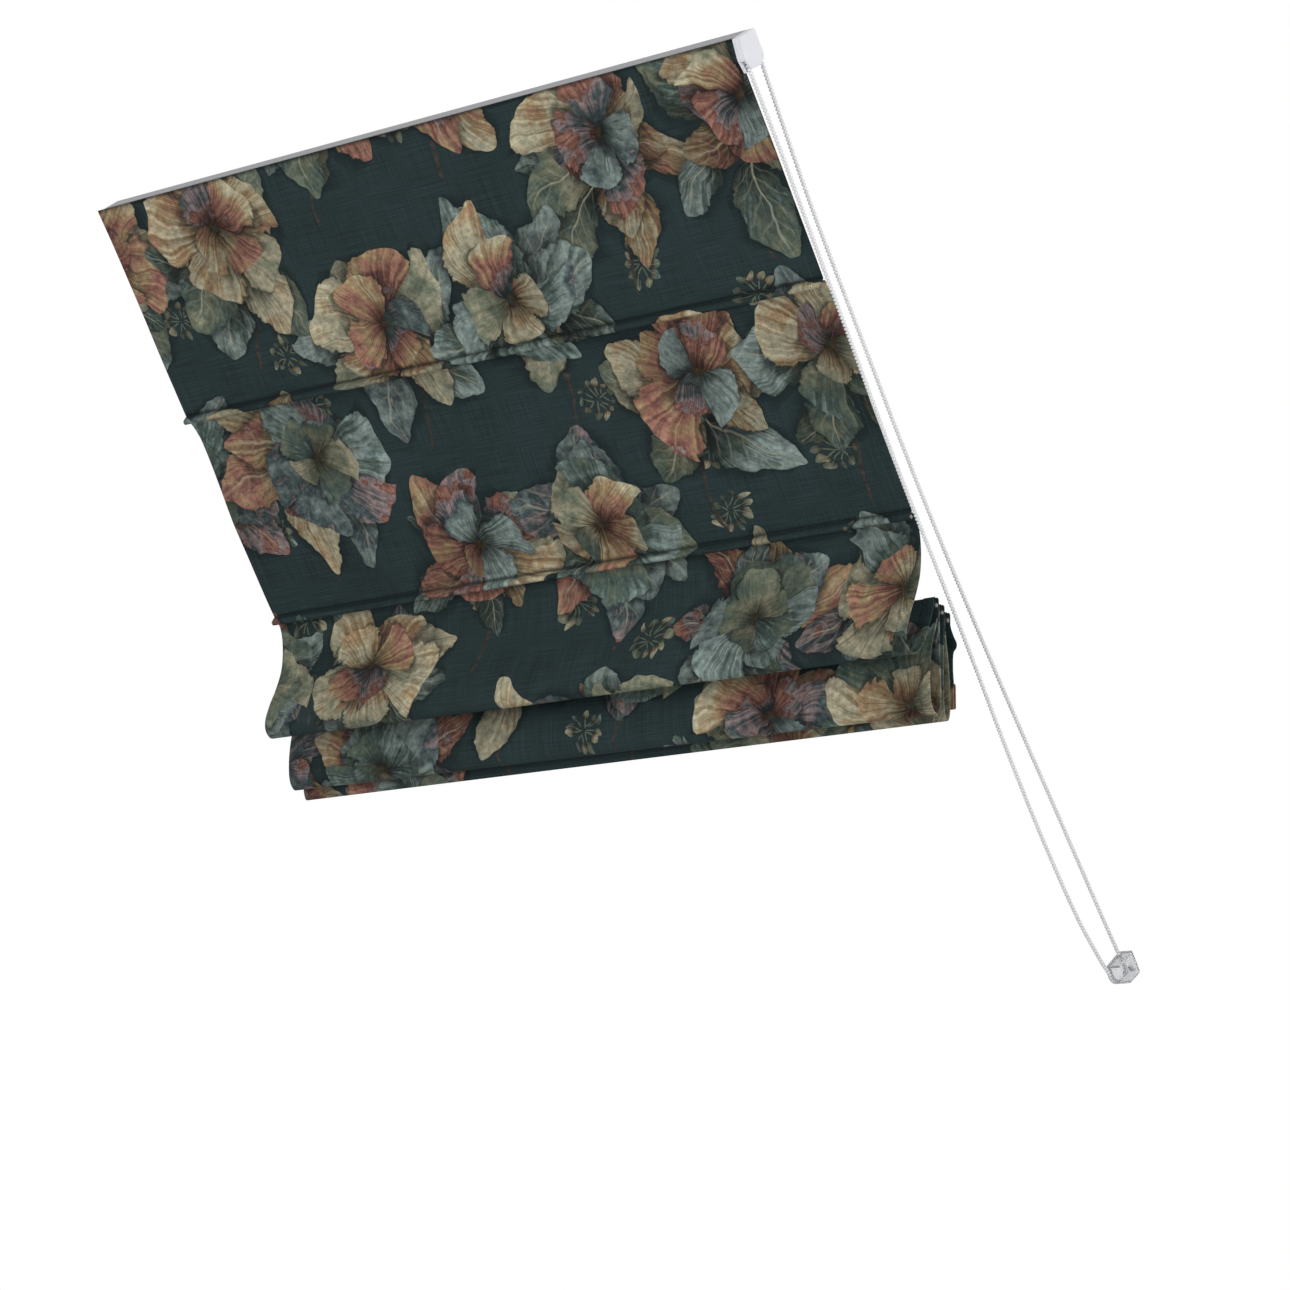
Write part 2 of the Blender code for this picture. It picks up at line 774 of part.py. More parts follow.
def make_brackets():
    for name, mid in (("left", BRACKET_INSET), ("right", CLOTH_WIDTH - BRACKET_INSET)):
        neck_top = BRACKET_MID - BRACKET_NECK_DROP / 2
        neck_bottom = BRACKET_MID + BRACKET_NECK_DROP / 2
        head_top = BRACKET_MID - CHANNEL_DROP / 2 + 2 * GAP
        head_bottom = BRACKET_MID + CHANNEL_DROP / 2 - 2 * GAP
        head_front = CHANNEL_FLOOR + GAP
        head_back = head_front + BRACKET_HEAD
        foot_front = CEILING - BRACKET_FOOT
        foot_bottom = RAIL_DROP + BRACKET_TAIL
        outline = [
            (CEILING, BRACKET_TOP),
            (CEILING, foot_bottom),
            (foot_front, foot_bottom),
            (foot_front, neck_bottom),
            (head_back, neck_bottom),
            (head_back, head_bottom),
            (head_front, head_bottom),
            (head_front, head_top),
            (head_back, head_top),
            (head_back, neck_top),
            (foot_front, neck_top),
            (foot_front, BRACKET_TOP),
        ]
        half = BRACKET_WIDTH / 2
        bracket = section(f"ceiling_bracket_{name}", outline, mid - half, mid + half, WHITE_PLASTIC)
        seat = (mid, foot_front, TAIL_SCREW_DROP)
        cut(bracket, screw_hole(f"bracket_hole_{name}", seat, BRACKET_FOOT))
        screw(f"bracket_screw_{name}", seat, STEEL)


def screw_hole(name, seat, depth):
    a, n, b = seat
    centre = (a, n + depth / 2, b)
    return cylinder(name, centre, SCREW_RADIUS + GAP, 3 * depth, "n", is_cutter=True, sides=16)


def screw(name, seat, paint, head=SCREW_HEAD_RADIUS):
    """A round-headed cross screw whose head lies on the seat, with its shank up to the ceiling."""
    a, n, b = seat
    reach = CEILING - n + GAP
    domed = [(0, SCREW_HEAD), (0.6 * head, 0.86 * SCREW_HEAD)]
    domed += [(head, 0.45 * SCREW_HEAD), (head, 0)]
    shank = [(SCREW_RADIUS, 0), (SCREW_RADIUS, -reach), (0, -reach)]
    made = turned(name, domed + shank, (a, n - GAP, b), "n", paint, steps=16)
    top = n - GAP - SCREW_HEAD
    half = SCREW_SLOT / 2
    for index, (wide, high) in enumerate(((SCREW_SLOT_REACH, half), (half, SCREW_SLOT_REACH))):
        slot = box(
            f"{name}_slot_{index}",
            (a - wide, top - OVERLAP, b - high),
            (a + wide, top + SCREW_SLOT_DEPTH, b + high),
            is_cutter=True,
        )
        cut(made, slot)
    return made


def make_lift_gear(shaft_start):
    shaft_near = shaft_start + GAP
    shaft_far = PLATE_NEAR - 1.5 * MM
    half = SHAFT / 2
    box(
        "lift_shaft",
        (shaft_near, SHAFT_BACK - half, SHAFT_DROP - half),
        (shaft_far, SHAFT_BACK + half, SHAFT_DROP + half),
        STEEL,
    )
    for name, mid in (("left", CORD_INSET), ("right", CLOTH_WIDTH - CORD_INSET)):
        make_spool(name, mid)
        make_cradle(name, mid)
        make_cord(name, mid)


def make_spool(name, mid):
    half = SPOOL_WIDTH / 2
    inner = half - SPOOL_FLANGE_WIDTH
    end = half + CRADLE_WALL + GAP
    profile = [
        (0, end),
        (JOURNAL, end),
        (JOURNAL, half),
        (SPOOL_FLANGE, half),
        (SPOOL_FLANGE, inner),
        (SPOOL_CORE, 0.6 * inner),
        (SPOOL_CORE, -0.6 * inner),
        (SPOOL_FLANGE, -inner),
        (SPOOL_FLANGE, -half),
        (JOURNAL, -half),
        (JOURNAL, -end),
        (0, -end),
    ]
    spool = turned(f"cord_spool_{name}", profile, (mid, SHAFT_BACK, SHAFT_DROP), "a", WHITE_PLASTIC)
    socket = box(
        f"spool_socket_{name}",
        (mid - 2 * end, SHAFT_BACK - SOCKET_HALF, SHAFT_DROP - SOCKET_HALF),
        (mid + 2 * end, SHAFT_BACK + SOCKET_HALF, SHAFT_DROP + SOCKET_HALF),
        is_cutter=True,
    )
    cut(spool, socket)


def make_cradle(name, mid):
    half = SPOOL_WIDTH / 2 + GAP
    outer = half + CRADLE_WALL
    cradle = plug(f"spool_cradle_{name}", mid - outer, mid + outer, WHITE_PLASTIC, False)
    bay = box(
        f"cradle_bay_{name}",
        (mid - half, RAIL_INNER_FRONT - OVERLAP, -OVERLAP),
        (mid + half, RAIL_INNER_BACK - GAP - CRADLE_WALL, RAIL_DROP + OVERLAP),
        is_cutter=True,
    )
    centre = (mid, SHAFT_BACK, SHAFT_DROP)
    bore = cylinder(f"cradle_bore_{name}", centre, JOURNAL + GAP, 3 * outer, "a", is_cutter=True)
    cut(cradle, bay, bore)


def ring_centre(index):
    """(n, b) of the ring sewn behind a stitch line."""
    seat = RING_SEAT if index < len(FLAT_STITCHES) else APEX_RING_SEAT
    neck = STITCHES[index].neck
    return Vector((neck.x + seat + RING_RADIUS, neck.y))


def make_cord(name, mid):
    """The lift cord, in the stretches between its spool and the rings."""
    start = Vector((SHAFT_BACK + SPOOL_CORE + GAP + CORD / 2, SHAFT_DROP))
    for index in range(len(STITCHES)):
        end = ring_centre(index) + Vector((CORD_OFFSET, 0))
        run = (end - start).normalized() * GAP / 2
        points = [(mid, *(start + run)), (mid, *(end - run))]
        tube(f"lift_cord_{name}_{index + 1}", points, CORD / 2, WHITE_CORD)
        start = end


def make_rods():
    for index, stitch in enumerate(STITCHES):
        name = f"rod_{index + 1}"
        centre = (CLOTH_WIDTH / 2, *stitch.rod)
        length = CLOTH_WIDTH + 2 * ROD_PROUD
        cylinder(name, centre, ROD_RADIUS, length, "a", FIBREGLASS, sides=16)


def make_rings():
    bpy.ops.mesh.primitive_torus_add(
        major_radius=RING_RADIUS,
        minor_radius=RING_WIRE,
        major_segments=16,
        minor_segments=6,
    )
    pattern = bpy.context.object
    shape = pattern.data
    shape.shade_smooth()
    bpy.data.objects.remove(pattern)
    for index in range(len(STITCHES)):
        for name, mid in (("left", CORD_INSET), ("right", CLOTH_WIDTH - CORD_INSET)):
            ring = bpy.data.objects.new(f"cord_ring_{name}_{index + 1}", shape)
            ring.location = spot(mid, *ring_centre(index))
            add(ring, WHITE_PLASTIC)


def make_drive():
    plate_far = PLATE_NEAR + DRIVE_PLATE
    body = section("drive_body", rounded(PLATE_OUTLINE), PLATE_NEAR, plate_far, WHITE_PLASTIC)
    inner = plug("drive_plug", RAIL_END - PLUG_LENGTH, PLATE_NEAR + OVERLAP)
    bore = cylinder(
        "drive_bore",
        (RAIL_END, SHAFT_BACK, SHAFT_DROP),
        BORE_RADIUS,
        3 * PLUG_LENGTH,
        "a",
        is_cutter=True,
    )
    cut(join(body, inner), bore)

    cover_far = COVER_INSIDE + DRIVE_FACE
    cover = section("drive_cover", rounded(COVER_OUTLINE), COVER_NEAR, cover_far, WHITE_PLASTIC)
    hollow = rounded(inset(COVER_OUTLINE, DRIVE_WALL))
    cavity = section("drive_cavity", hollow, COVER_NEAR - OVERLAP, COVER_INSIDE, is_cutter=True)
    mouth_far = COVER_INSIDE - 0.8 * MM
    front_mouth = box(
        "front_mouth",
        (COVER_NEAR - OVERLAP, -8 * MM, 23.5 * MM),
        (mouth_far, 2.6 * MM, 40 * MM),
        is_cutter=True,
    )
    rear_mouth = box(
        "rear_mouth",
        (COVER_NEAR - OVERLAP, 20 * MM, 27 * MM),
        (mouth_far, 28 * MM, 40 * MM),
        is_cutter=True,
    )
    cut(cover, cavity, front_mouth, rear_mouth)
    make_chain_wheel()
    make_clutch()


def make_chain_wheel():
    half = (WHEEL_FAR - WHEEL_NEAR) / 2
    groove = half - WHEEL_FLANGE
    floor = WHEEL_PITCH - CHAIN / 2 - GAP
    profile = [
        (HUB_RADIUS + GAP, half),
        (WHEEL_RIM, half),
        (WHEEL_RIM, groove),
        (floor, groove),
        (floor, -groove),
        (WHEEL_RIM, -groove),
        (WHEEL_RIM, -half),
        (HUB_RADIUS + GAP, -half),
    ]
    place = (WHEEL_MID, SHAFT_BACK, SHAFT_DROP)
    wheel = turned("chain_wheel", profile, place, "a", WHITE_PLASTIC, closed=True, steps=40)
    form = bmesh.new()
    for index in range(POCKETS):
        angle = 2 * math.pi * index / POCKETS
        made = bmesh.ops.create_cone(
            form,
            cap_ends=True,
            segments=8,
            radius1=POCKET_RADIUS,
            radius2=POCKET_RADIUS,
            depth=4 * half,
        )
        reach = Vector((WHEEL_RIM * math.cos(angle), WHEEL_RIM * math.sin(angle), 0))
        bmesh.ops.translate(form, verts=made["verts"], vec=reach)
    mesh = bpy.data.meshes.new("wheel_pockets")
    form.to_mesh(mesh)
    form.free()
    pockets = bpy.data.objects.new("wheel_pockets", mesh)
    pockets.location = spot(*place)
    pockets.rotation_euler = (0, math.pi / 2, 0)
    cut(wheel, add(pockets, None, True))


def make_clutch():
    far = COVER_INSIDE - GAP
    mid = (HUB_NEAR + far) / 2
    half = (far - HUB_NEAR) / 2
    place = (mid, SHAFT_BACK, SHAFT_DROP)
    profile = [(0, half), (HUB_RADIUS, half), (HUB_RADIUS, -half), (0, -half)]
    hub = turned("clutch_hub", profile, place, "a", WHITE_PLASTIC)
    socket = box(
        "hub_socket",
        (HUB_NEAR - OVERLAP, SHAFT_BACK - SOCKET_HALF, SHAFT_DROP - SOCKET_HALF),
        (PLATE_NEAR - 1.5 * MM + GAP, SHAFT_BACK + SOCKET_HALF, SHAFT_DROP + SOCKET_HALF),
        is_cutter=True,
    )
    cut(hub, socket)
    first = HUB_NEAR + 1.5 * MM
    last = PLATE_NEAR - 1.0 * MM
    points = []
    steps = SPRING_TURNS * 10
    for step in range(steps + 1):
        angle = 2 * math.pi * step / 10
        points.append(
            (
                first + (last - first) * step / steps,
                SHAFT_BACK + SPRING_MEAN * math.cos(angle),
                SHAFT_DROP + SPRING_MEAN * math.sin(angle),
            )
        )
    tube("clutch_spring", points, SPRING_WIRE / 2, STEEL, sides=1)


def chain_out(b):
    """The a of the chain's plane, which leans out from the wheel to the tensioner."""
    share = (b - SHAFT_DROP) / (TENSIONER_DROP - SHAFT_DROP)
    return WHEEL_MID + (GUIDE_MID - WHEEL_MID) * min(max(share, 0), 1)


def arc(centre, radius, start, end, steps):
    """(n, b) points of an arc, its angles in degrees from +n towards +b."""
    line = []
    for step in range(steps + 1):
        angle = math.radians(start + (end - start) * step / steps)
        line.append((centre[0] + radius * math.cos(angle), centre[1] + radius * math.sin(angle)))
    return line


def make_bead_chain():
    """The endless chain, over its wheel, down the front, round the tensioner and up the back."""
    wheel = arc((SHAFT_BACK, SHAFT_DROP), WHEEL_PITCH, 0, -180, 10)
    guide = arc((TENSIONER_BACK, TENSIONER_DROP), GUIDE_PITCH, 164, 6, 10)
    front = through(scaled(FRONT_STRAND))
    rear = list(reversed(through(scaled(REAR_STRAND))))
    route = [(chain_out(b), n, b) for n, b in wheel + front + guide + rear]
    tube("bead_chain", route, CHAIN / 2, CHAIN_PLASTIC, cyclic=True)


def make_tensioner():
    """A moulded body with the chain's half-round guide, and an open pocket for its screw beside it."""
    centre = (TENSIONER_BACK, TENSIONER_DROP)
    near = GUIDE_MID - GUIDE_WIDTH / 2
    far = GUIDE_MID + GUIDE_WIDTH / 2
    right = GUIDE_MID + TENSIONER_RIGHT
    top = TENSIONER_DROP - GUIDE_TOP
    foot = TENSIONER_DROP + TENSIONER_FOOT
    plate_front = CEILING - TENSIONER_PLATE
    reach = math.degrees(math.asin(GUIDE_TOP / GUIDE_RIM))
    outline = arc(centre, GUIDE_RIM, 180 + reach, 90, 16)
    outline += [(CEILING - TENSIONER_CORNER, foot), (CEILING, foot - TENSIONER_CORNER), (CEILING, top)]
    body = section("tensioner_body", outline, near, right, CLEAR_PLASTIC)

    beyond = TENSIONER_FOOT / 2
    core = arc(centre, GUIDE_PITCH - CHAIN / 2 - GAP, 180, 0, 12)
    outside = arc(centre, GUIDE_RIM + beyond, 180, 0, 16)
    rear_wall = TENSIONER_BACK + GUIDE_PITCH + CHAIN / 2 + GAP
    lower = [point for point in outside if point[0] < rear_wall]
    channel = lower + [(rear_wall, lower[-1][1]), (rear_wall, top - beyond)]
    channel += [(core[-1][0], top - beyond)] + list(reversed(core))
    channel += [(core[0][0], top - beyond), (outside[0][0], top - beyond)]
    groove_low = GUIDE_MID - CHAIN / 2 - GAP
    groove_high = GUIDE_MID + CHAIN / 2 + GAP
    groove = section("chain_groove", channel, groove_low, groove_high, is_cutter=True)

    front = outside[0][0]
    pocket_top = top + TENSIONER_WALL
    pocket_floor = foot - TENSIONER_FLOOR
    corner = TENSIONER_CORNER / 2
    pocket_outline = [
        (front, pocket_top),
        (plate_front - corner, pocket_top),
        (plate_front, pocket_top + corner),
        (plate_front, pocket_floor - corner),
        (plate_front - corner, pocket_floor),
        (front, pocket_floor),
    ]
    pocket = section("screw_pocket", pocket_outline, far, right + OVERLAP, is_cutter=True)
    seat = (GUIDE_MID + TENSIONER_SCREW_OUT, plate_front, TENSIONER_DROP + TENSIONER_SCREW_DROP)
    hole = screw_hole("tensioner_hole", seat, TENSIONER_PLATE)
    cut(body, groove, pocket, hole)
    screw("tensioner_screw", seat, CHROME, TENSIONER_SCREW_HEAD)


def main():
    make_headrail()
    make_strips()
    make_brackets()
    shaft_start = make_end_cap()
    make_lift_gear(shaft_start)
    make_drive()
    make_bead_chain()
    make_tensioner()
    make_cloth()
    make_rods()
    make_rings()


main()
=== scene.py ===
import json
import math

import bmesh
import bpy
import numpy as np
from mathutils import Matrix, Vector, noise


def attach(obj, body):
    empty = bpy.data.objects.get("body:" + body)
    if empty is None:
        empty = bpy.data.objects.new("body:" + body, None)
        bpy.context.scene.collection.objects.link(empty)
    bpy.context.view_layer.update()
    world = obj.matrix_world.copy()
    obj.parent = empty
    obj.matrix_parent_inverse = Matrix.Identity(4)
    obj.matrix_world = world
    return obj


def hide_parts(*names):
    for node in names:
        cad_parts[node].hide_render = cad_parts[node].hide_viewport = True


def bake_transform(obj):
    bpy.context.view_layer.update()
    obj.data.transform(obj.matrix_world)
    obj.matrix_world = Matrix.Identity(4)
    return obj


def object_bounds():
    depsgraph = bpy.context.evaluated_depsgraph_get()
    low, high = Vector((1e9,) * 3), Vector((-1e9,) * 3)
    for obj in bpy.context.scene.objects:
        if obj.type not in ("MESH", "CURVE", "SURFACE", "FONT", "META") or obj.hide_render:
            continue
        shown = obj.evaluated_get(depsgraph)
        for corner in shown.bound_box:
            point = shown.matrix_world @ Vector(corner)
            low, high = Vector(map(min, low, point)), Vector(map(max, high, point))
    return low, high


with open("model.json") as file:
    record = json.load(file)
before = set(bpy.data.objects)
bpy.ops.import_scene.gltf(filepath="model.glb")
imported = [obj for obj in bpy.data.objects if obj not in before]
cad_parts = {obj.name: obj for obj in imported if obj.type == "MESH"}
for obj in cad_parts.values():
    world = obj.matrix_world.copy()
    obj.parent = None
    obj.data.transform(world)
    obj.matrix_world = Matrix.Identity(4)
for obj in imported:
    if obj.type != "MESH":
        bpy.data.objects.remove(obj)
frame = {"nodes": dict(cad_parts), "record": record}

# The looks of a half-raised roman blind for a roof window. Places on it are (a, n, b): along the width,
# towards the ceiling and down the slope, as in the CAD. Cloth that hangs free is drawn plumb, as
# (back, down) from the cloth's top front edge.

cad_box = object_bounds()
MM = 0.001

# Slope and origin, as in the CAD
TILT = math.radians(90 - 54.77)
ORIGIN = (110 * MM, 30 * MM, 16 * MM)

# Camera, solved from the photograph's straight edges
CAMERA_OFFSET = Vector((3.0475, -2.7771, -1.2599))
CAMERA_FORWARD = Vector((-0.62027, 0.76220, 0.18527))
CAMERA_UP = Vector((0.115, -0.144, 0.983))
LENS = 106.17

# Cloth; STITCH_TURN is in radians a metre, and SEAM_REACH is as far from a seam as is measured
CLOTH_WIDTH = 896 * MM
CLOTH = 0.8 * MM
HEM = 14 * MM
HEM_EXTRA = 0.7 * MM
HEM_STITCH = 12 * MM
STITCH_TURN = 1800
SEAM_REACH = 20 * MM
COLUMN_STEP = 11 * MM
FOLD_STEPS = 5
CREASE_EASE = 6

# Rods and their tunnels
ROD_RADIUS = 2 * MM
TUNNEL_REACH = 5.6 * MM
TUNNEL_RADIUS = ROD_RADIUS + 0.3 * MM + CLOTH / 2
NECK_HALF = CLOTH / 2 + 0.3 * MM
SHOULDER_RADIUS = 1.65 * MM
PLY_REACH = NECK_HALF + 2 * SHOULDER_RADIUS
SEAM = 0.4 * MM
RING_RADIUS = 6 * MM
RING_SEAT = 2.2 * MM
APEX_RING_SEAT = 5.1 * MM

# Lift cords
CORD = 1.4 * MM
CORD_INSET = 150 * MM
CORD_OFFSET = 1.5 * MM
CORD_STEPS = 24
SPOOL_START = (17.4 * MM, 16 * MM)

# Bottom bar in its hem
BAR = 2.4 * MM
BAR_DROP = 22 * MM
BAR_BACK = 363.4 * MM
HEM_TOP = 585 * MM

# Bead chain
BEAD_RADIUS = 2.25 * MM
BEAD_HALF_LENGTH = 1.65 * MM
BEAD_PITCH = 3.9 * MM
BEAD_RINGS = 8
BEAD_SIDES = 12
BEAD_CORD = 0.8 * MM
SHAFT_BACK = 11.2 * MM
SHAFT_DROP = 16 * MM
WHEEL_PITCH = 11.9 * MM
WHEEL_MID = 901.55 * MM
TENSIONER_BACK = 10.9 * MM
TENSIONER_DROP = 1054.3 * MM
GUIDE_PITCH = 13.5 * MM
GUIDE_MID = 922.2 * MM

# Cloth lines between the stitch lines, in millimetres: panels as (n, b), folds as (back, down)
FLAT_STITCHES = [(-2.3, 255.6), (-2.4, 511.5)]
APEX_STITCHES = [(332.5, 502.2), (342.5, 508.2), (352.5, 514.8)]
PANEL_1 = [(0.4, 0), (0.1, 60), (-0.8, 129), (-2.0, 200), (-2.3, 240), (-2.35, 252.6)]
PANEL_2 = [
    (0.2, 262.5), (2.4, 270), (4.3, 281), (4.6, 292), (3.6, 315), (1.2, 345), (-1.4, 375),
    (-2.6, 395), (-2.9, 440), (-2.6, 490), (-2.45, 508.5),
]
LOOP_3 = [
    (301.5, 428.5), (305, 441), (306.3, 460), (304, 481), (296, 503), (286, 524), (279.5, 543),
    (280.5, 556), (289, 563.5), (300, 560.5), (310, 550), (317, 537), (323, 523), (327.4, 513),
]
FOLD_4 = [
    (334.8, 520), (330, 533), (324, 550), (320.5, 570), (319.5, 590), (321, 607), (325.5, 616.5),
    (331, 619.5), (336.3, 616), (339, 606), (339.4, 590), (338.6, 565), (338, 540), (338.2, 522),
]
FOLD_5 = [
    (345.2, 535), (343.8, 560), (343.2, 590), (344, 610), (346.5, 620.5), (350, 623.8),
    (353.5, 620), (355.3, 608), (355, 585), (352.5, 560), (349.6, 542), (348.5, 529),
]
TAIL = [(358, 529), (363, 536.5), (367.5, 542), (366.5, 546.5), (362.5, 550.5), (360.5, 558), (360.3, 572)]

# How far below its stitch line a fold starts to hang as one with it
FOLD_REST = 9.3 * MM

# How far each fold's left end hangs, as a share of its right end's drop
LOOP_3_LEFT_SHARE = 0.96
FOLD_4_LEFT_SHARE = 0.94
FOLD_5_LEFT_SHARE = 0.99

# Floor's half size, its drop below the part and the light that only the camera sees in it, then the
# world's light on the part
FLOOR_HALF = 40
FLOOR_DROP = 0.45
FLOOR_GLOW = 0.38
WORLD_LIGHT = 0.47

# Lamps: name, place, aim, size and power
LAMPS = [
    ("key", (0.1, -2.8, 0.1), (0.35, 0.2, -0.3), 2.4, 17),
    ("side", (3.3, -1.0, -0.2), (0.4, 0.2, -0.3), 1.6, 42),
    ("fill", (-2.4, -1.8, -0.6), (0.35, 0.2, -0.4), 2.0, 9),
]

# Bead chain strands as (n, b), in millimetres
FRONT_STRAND = [
    (-1.2, 33), (-2.6, 107), (-5.6, 170), (-8.6, 233), (-11.5, 297), (-14.9, 361), (-17.8, 425),
    (-19.6, 491), (-20.2, 560), (-20.9, 627), (-22.5, 695), (-24.9, 762), (-25.6, 832),
    (-24.2, 903), (-19.5, 977), (-9.2, 1035),
]
REAR_STRAND = [
    (22.6, 35), (20.9, 52), (15.5, 114), (10.8, 176), (8.2, 239), (6.6, 305), (5.0, 370),
    (3.5, 435), (2.8, 501), (3.6, 571), (5.4, 640), (7.8, 710), (10.9, 781), (14.8, 855),
    (18.3, 928), (21.8, 1001), (24.1, 1038),
]


def spot(a, n, b):
    """World place of a point on the slope."""
    y = n - ORIGIN[1]
    z = ORIGIN[2] - b
    return Vector(
        (
            a - ORIGIN[0],
            y * math.cos(TILT) - z * math.sin(TILT),
            y * math.sin(TILT) + z * math.cos(TILT),
        )
    )


def hanging(back, down):
    """(n, b) of a point drawn level and plumb from the cloth's top front edge."""
    return (
        back * math.cos(TILT) - down * math.sin(TILT),
        back * math.sin(TILT) + down * math.cos(TILT),
    )


def scaled(points):
    return [(first * MM, second * MM) for first, second in points]


def through(points, steps):
    """A smooth line through points, with steps to each stretch between two of them."""
    line = []
    last = len(points) - 1
    for index in range(last):
        p0 = Vector(points[max(index - 1, 0)])
        p1 = Vector(points[index])
        p2 = Vector(points[index + 1])
        p3 = Vector(points[min(index + 2, last)])
        for step in range(steps):
            t = step / steps
            line.append(
                0.5
                * (
                    2 * p1
                    + (p2 - p0) * t
                    + (2 * p0 - 5 * p1 + 4 * p2 - p3) * t**2
                    + (3 * p1 - p0 - 3 * p2 + p3) * t**3
                )
            )
    line.append(Vector(points[last]))
    return line


class Field:
    """A number at each point of a surface. Arithmetic on it adds nodes to its node tree."""

    def __init__(self, tree, socket):
        self.tree = tree
        self.socket = socket

    def math(self, operation, *others):
        node = self.tree.nodes.new("ShaderNodeMath")
        node.operation = operation
        for slot, value in zip(node.inputs, (self, *others)):
            plug(self.tree, slot, value)
        return Field(self.tree, node.outputs[0])

    def __add__(self, other):
        return self.math("ADD", other)

    def __radd__(self, other):
        return self.math("ADD", other)

    def __sub__(self, other):
        return self.math("SUBTRACT", other)

    def __rsub__(self, other):
        return (self * -1).math("ADD", other)

    def __mul__(self, other):
        return self.math("MULTIPLY", other)

    def __rmul__(self, other):
        return self.math("MULTIPLY", other)

    def __truediv__(self, other):
        return self.math("DIVIDE", other)

    def __pow__(self, other):
        return self.math("POWER", other)

    def sin(self):
        return self.math("SINE")

    def cos(self):
        return self.math("COSINE")

    def abs(self):
        return self.math("ABSOLUTE")

    def floor(self):
        return self.math("FLOOR")

    def most(self, other):
        return self.math("MAXIMUM", other)

    def least(self, other):
        return self.math("MINIMUM", other)


def plug(tree, slot, value):
    """Feeds a node's input with a field, a socket or a plain value."""
    if isinstance(value, Field):
        tree.links.new(value.socket, slot)
    elif isinstance(value, bpy.types.NodeSocket):
        tree.links.new(value, slot)
    else:
        slot.default_value = value


def step(field, low, high):
    """0 below low and 1 above high, with a smooth rise; high may be below low."""
    node = field.tree.nodes.new("ShaderNodeMapRange")
    node.interpolation_type = "SMOOTHSTEP"
    node.clamp = False
    plug(field.tree, node.inputs["Value"], field)
    plug(field.tree, node.inputs["From Min"], low)
    plug(field.tree, node.inputs["From Max"], high)
    return Field(field.tree, node.outputs["Result"])


def vector(tree, x, y, z=0.0):
    node = tree.nodes.new("ShaderNodeCombineXYZ")
    for slot, value in zip(node.inputs, (x, y, z)):
        plug(tree, slot, value)
    return node.outputs[0]


def mottle(tree, place, scale, detail=2.0, roughness=0.5):
    """Soft noise from 0 to 1 at a vector."""
    node = tree.nodes.new("ShaderNodeTexNoise")
    plug(tree, node.inputs["Vector"], place)
    node.inputs["Scale"].default_value = scale
    node.inputs["Detail"].default_value = detail
    node.inputs["Roughness"].default_value = roughness
    return Field(tree, node.outputs["Fac"])


def line_noise(field, scale, detail=2.0, roughness=0.6):
    """Soft noise from 0 to 1 along one field."""
    node = field.tree.nodes.new("ShaderNodeTexNoise")
    node.noise_dimensions = "1D"
    plug(field.tree, node.inputs["W"], field)
    node.inputs["Scale"].default_value = scale
    node.inputs["Detail"].default_value = detail
    node.inputs["Roughness"].default_value = roughness
    return Field(field.tree, node.outputs["Fac"])


def lot(field):
    """Three random numbers from 0 to 1 that go with a number."""
    node = field.tree.nodes.new("ShaderNodeTexWhiteNoise")
    node.noise_dimensions = "1D"
    plug(field.tree, node.inputs["W"], field)
    return channels(field.tree, node.outputs["Color"])


def channels(tree, colour):
    """A colour's red, green and blue as fields."""
    node = tree.nodes.new("ShaderNodeSeparateColor")
    tree.links.new(colour, node.inputs[0])
    return [Field(tree, socket) for socket in node.outputs]


def mixed(tree, share, first, second, mode="MIX"):
    """Two colours blended by a share."""
    node = tree.nodes.new("ShaderNodeMix")
    node.data_type = "RGBA"
    node.blend_type = mode
    colours = [socket for socket in node.inputs if socket.type == "RGBA"]
    plug(tree, node.inputs[0], share)
    plug(tree, colours[0], first)
    plug(tree, colours[1], second)
    return [socket for socket in node.outputs if socket.type == "RGBA"][0]


def dimmed(tree, colour, light):
    """A colour multiplied by a field."""
    node = tree.nodes.new("ShaderNodeCombineColor")
    for slot in node.inputs:
        plug(tree, slot, light)
    return mixed(tree, 1.0, colour, node.outputs[0], "MULTIPLY")


def ramp(field, stops):
    """A colour that follows a field through (position, colour) stops."""
    node = field.tree.nodes.new("ShaderNodeValToRGB")
    plug(field.tree, node.inputs[0], field)
    elements = node.color_ramp.elements
    while len(elements) < len(stops):
        elements.new(0.5)
    for element, (position, colour) in zip(elements, stops):
        element.position = position
        element.color = (*colour, 1)
    return node.outputs[0]


def new_material(name):
    """A material with its tree and its Principled shader."""
    made = bpy.data.materials.new(name)
    made.use_nodes = True
    tree = made.node_tree
    return made, tree, tree.nodes["Principled BSDF"]


def bump(tree, shader, height, distance, strength):
    node = tree.nodes.new("ShaderNodeBump")
    node.inputs["Strength"].default_value = strength
    node.inputs["Distance"].default_value = distance
    plug(tree, node.inputs["Height"], height)
    tree.links.new(node.outputs["Normal"], shader.inputs["Normal"])


def place_of(tree):
    """The object's own coordinates, as a vector."""
    return tree.nodes.new("ShaderNodeTexCoord").outputs["Object"]


def parts_of(tree, place):
    """A vector's three parts as fields."""
    node = tree.nodes.new("ShaderNodeSeparateXYZ")
    tree.links.new(place, node.inputs[0])
    return [Field(tree, socket) for socket in node.outputs]


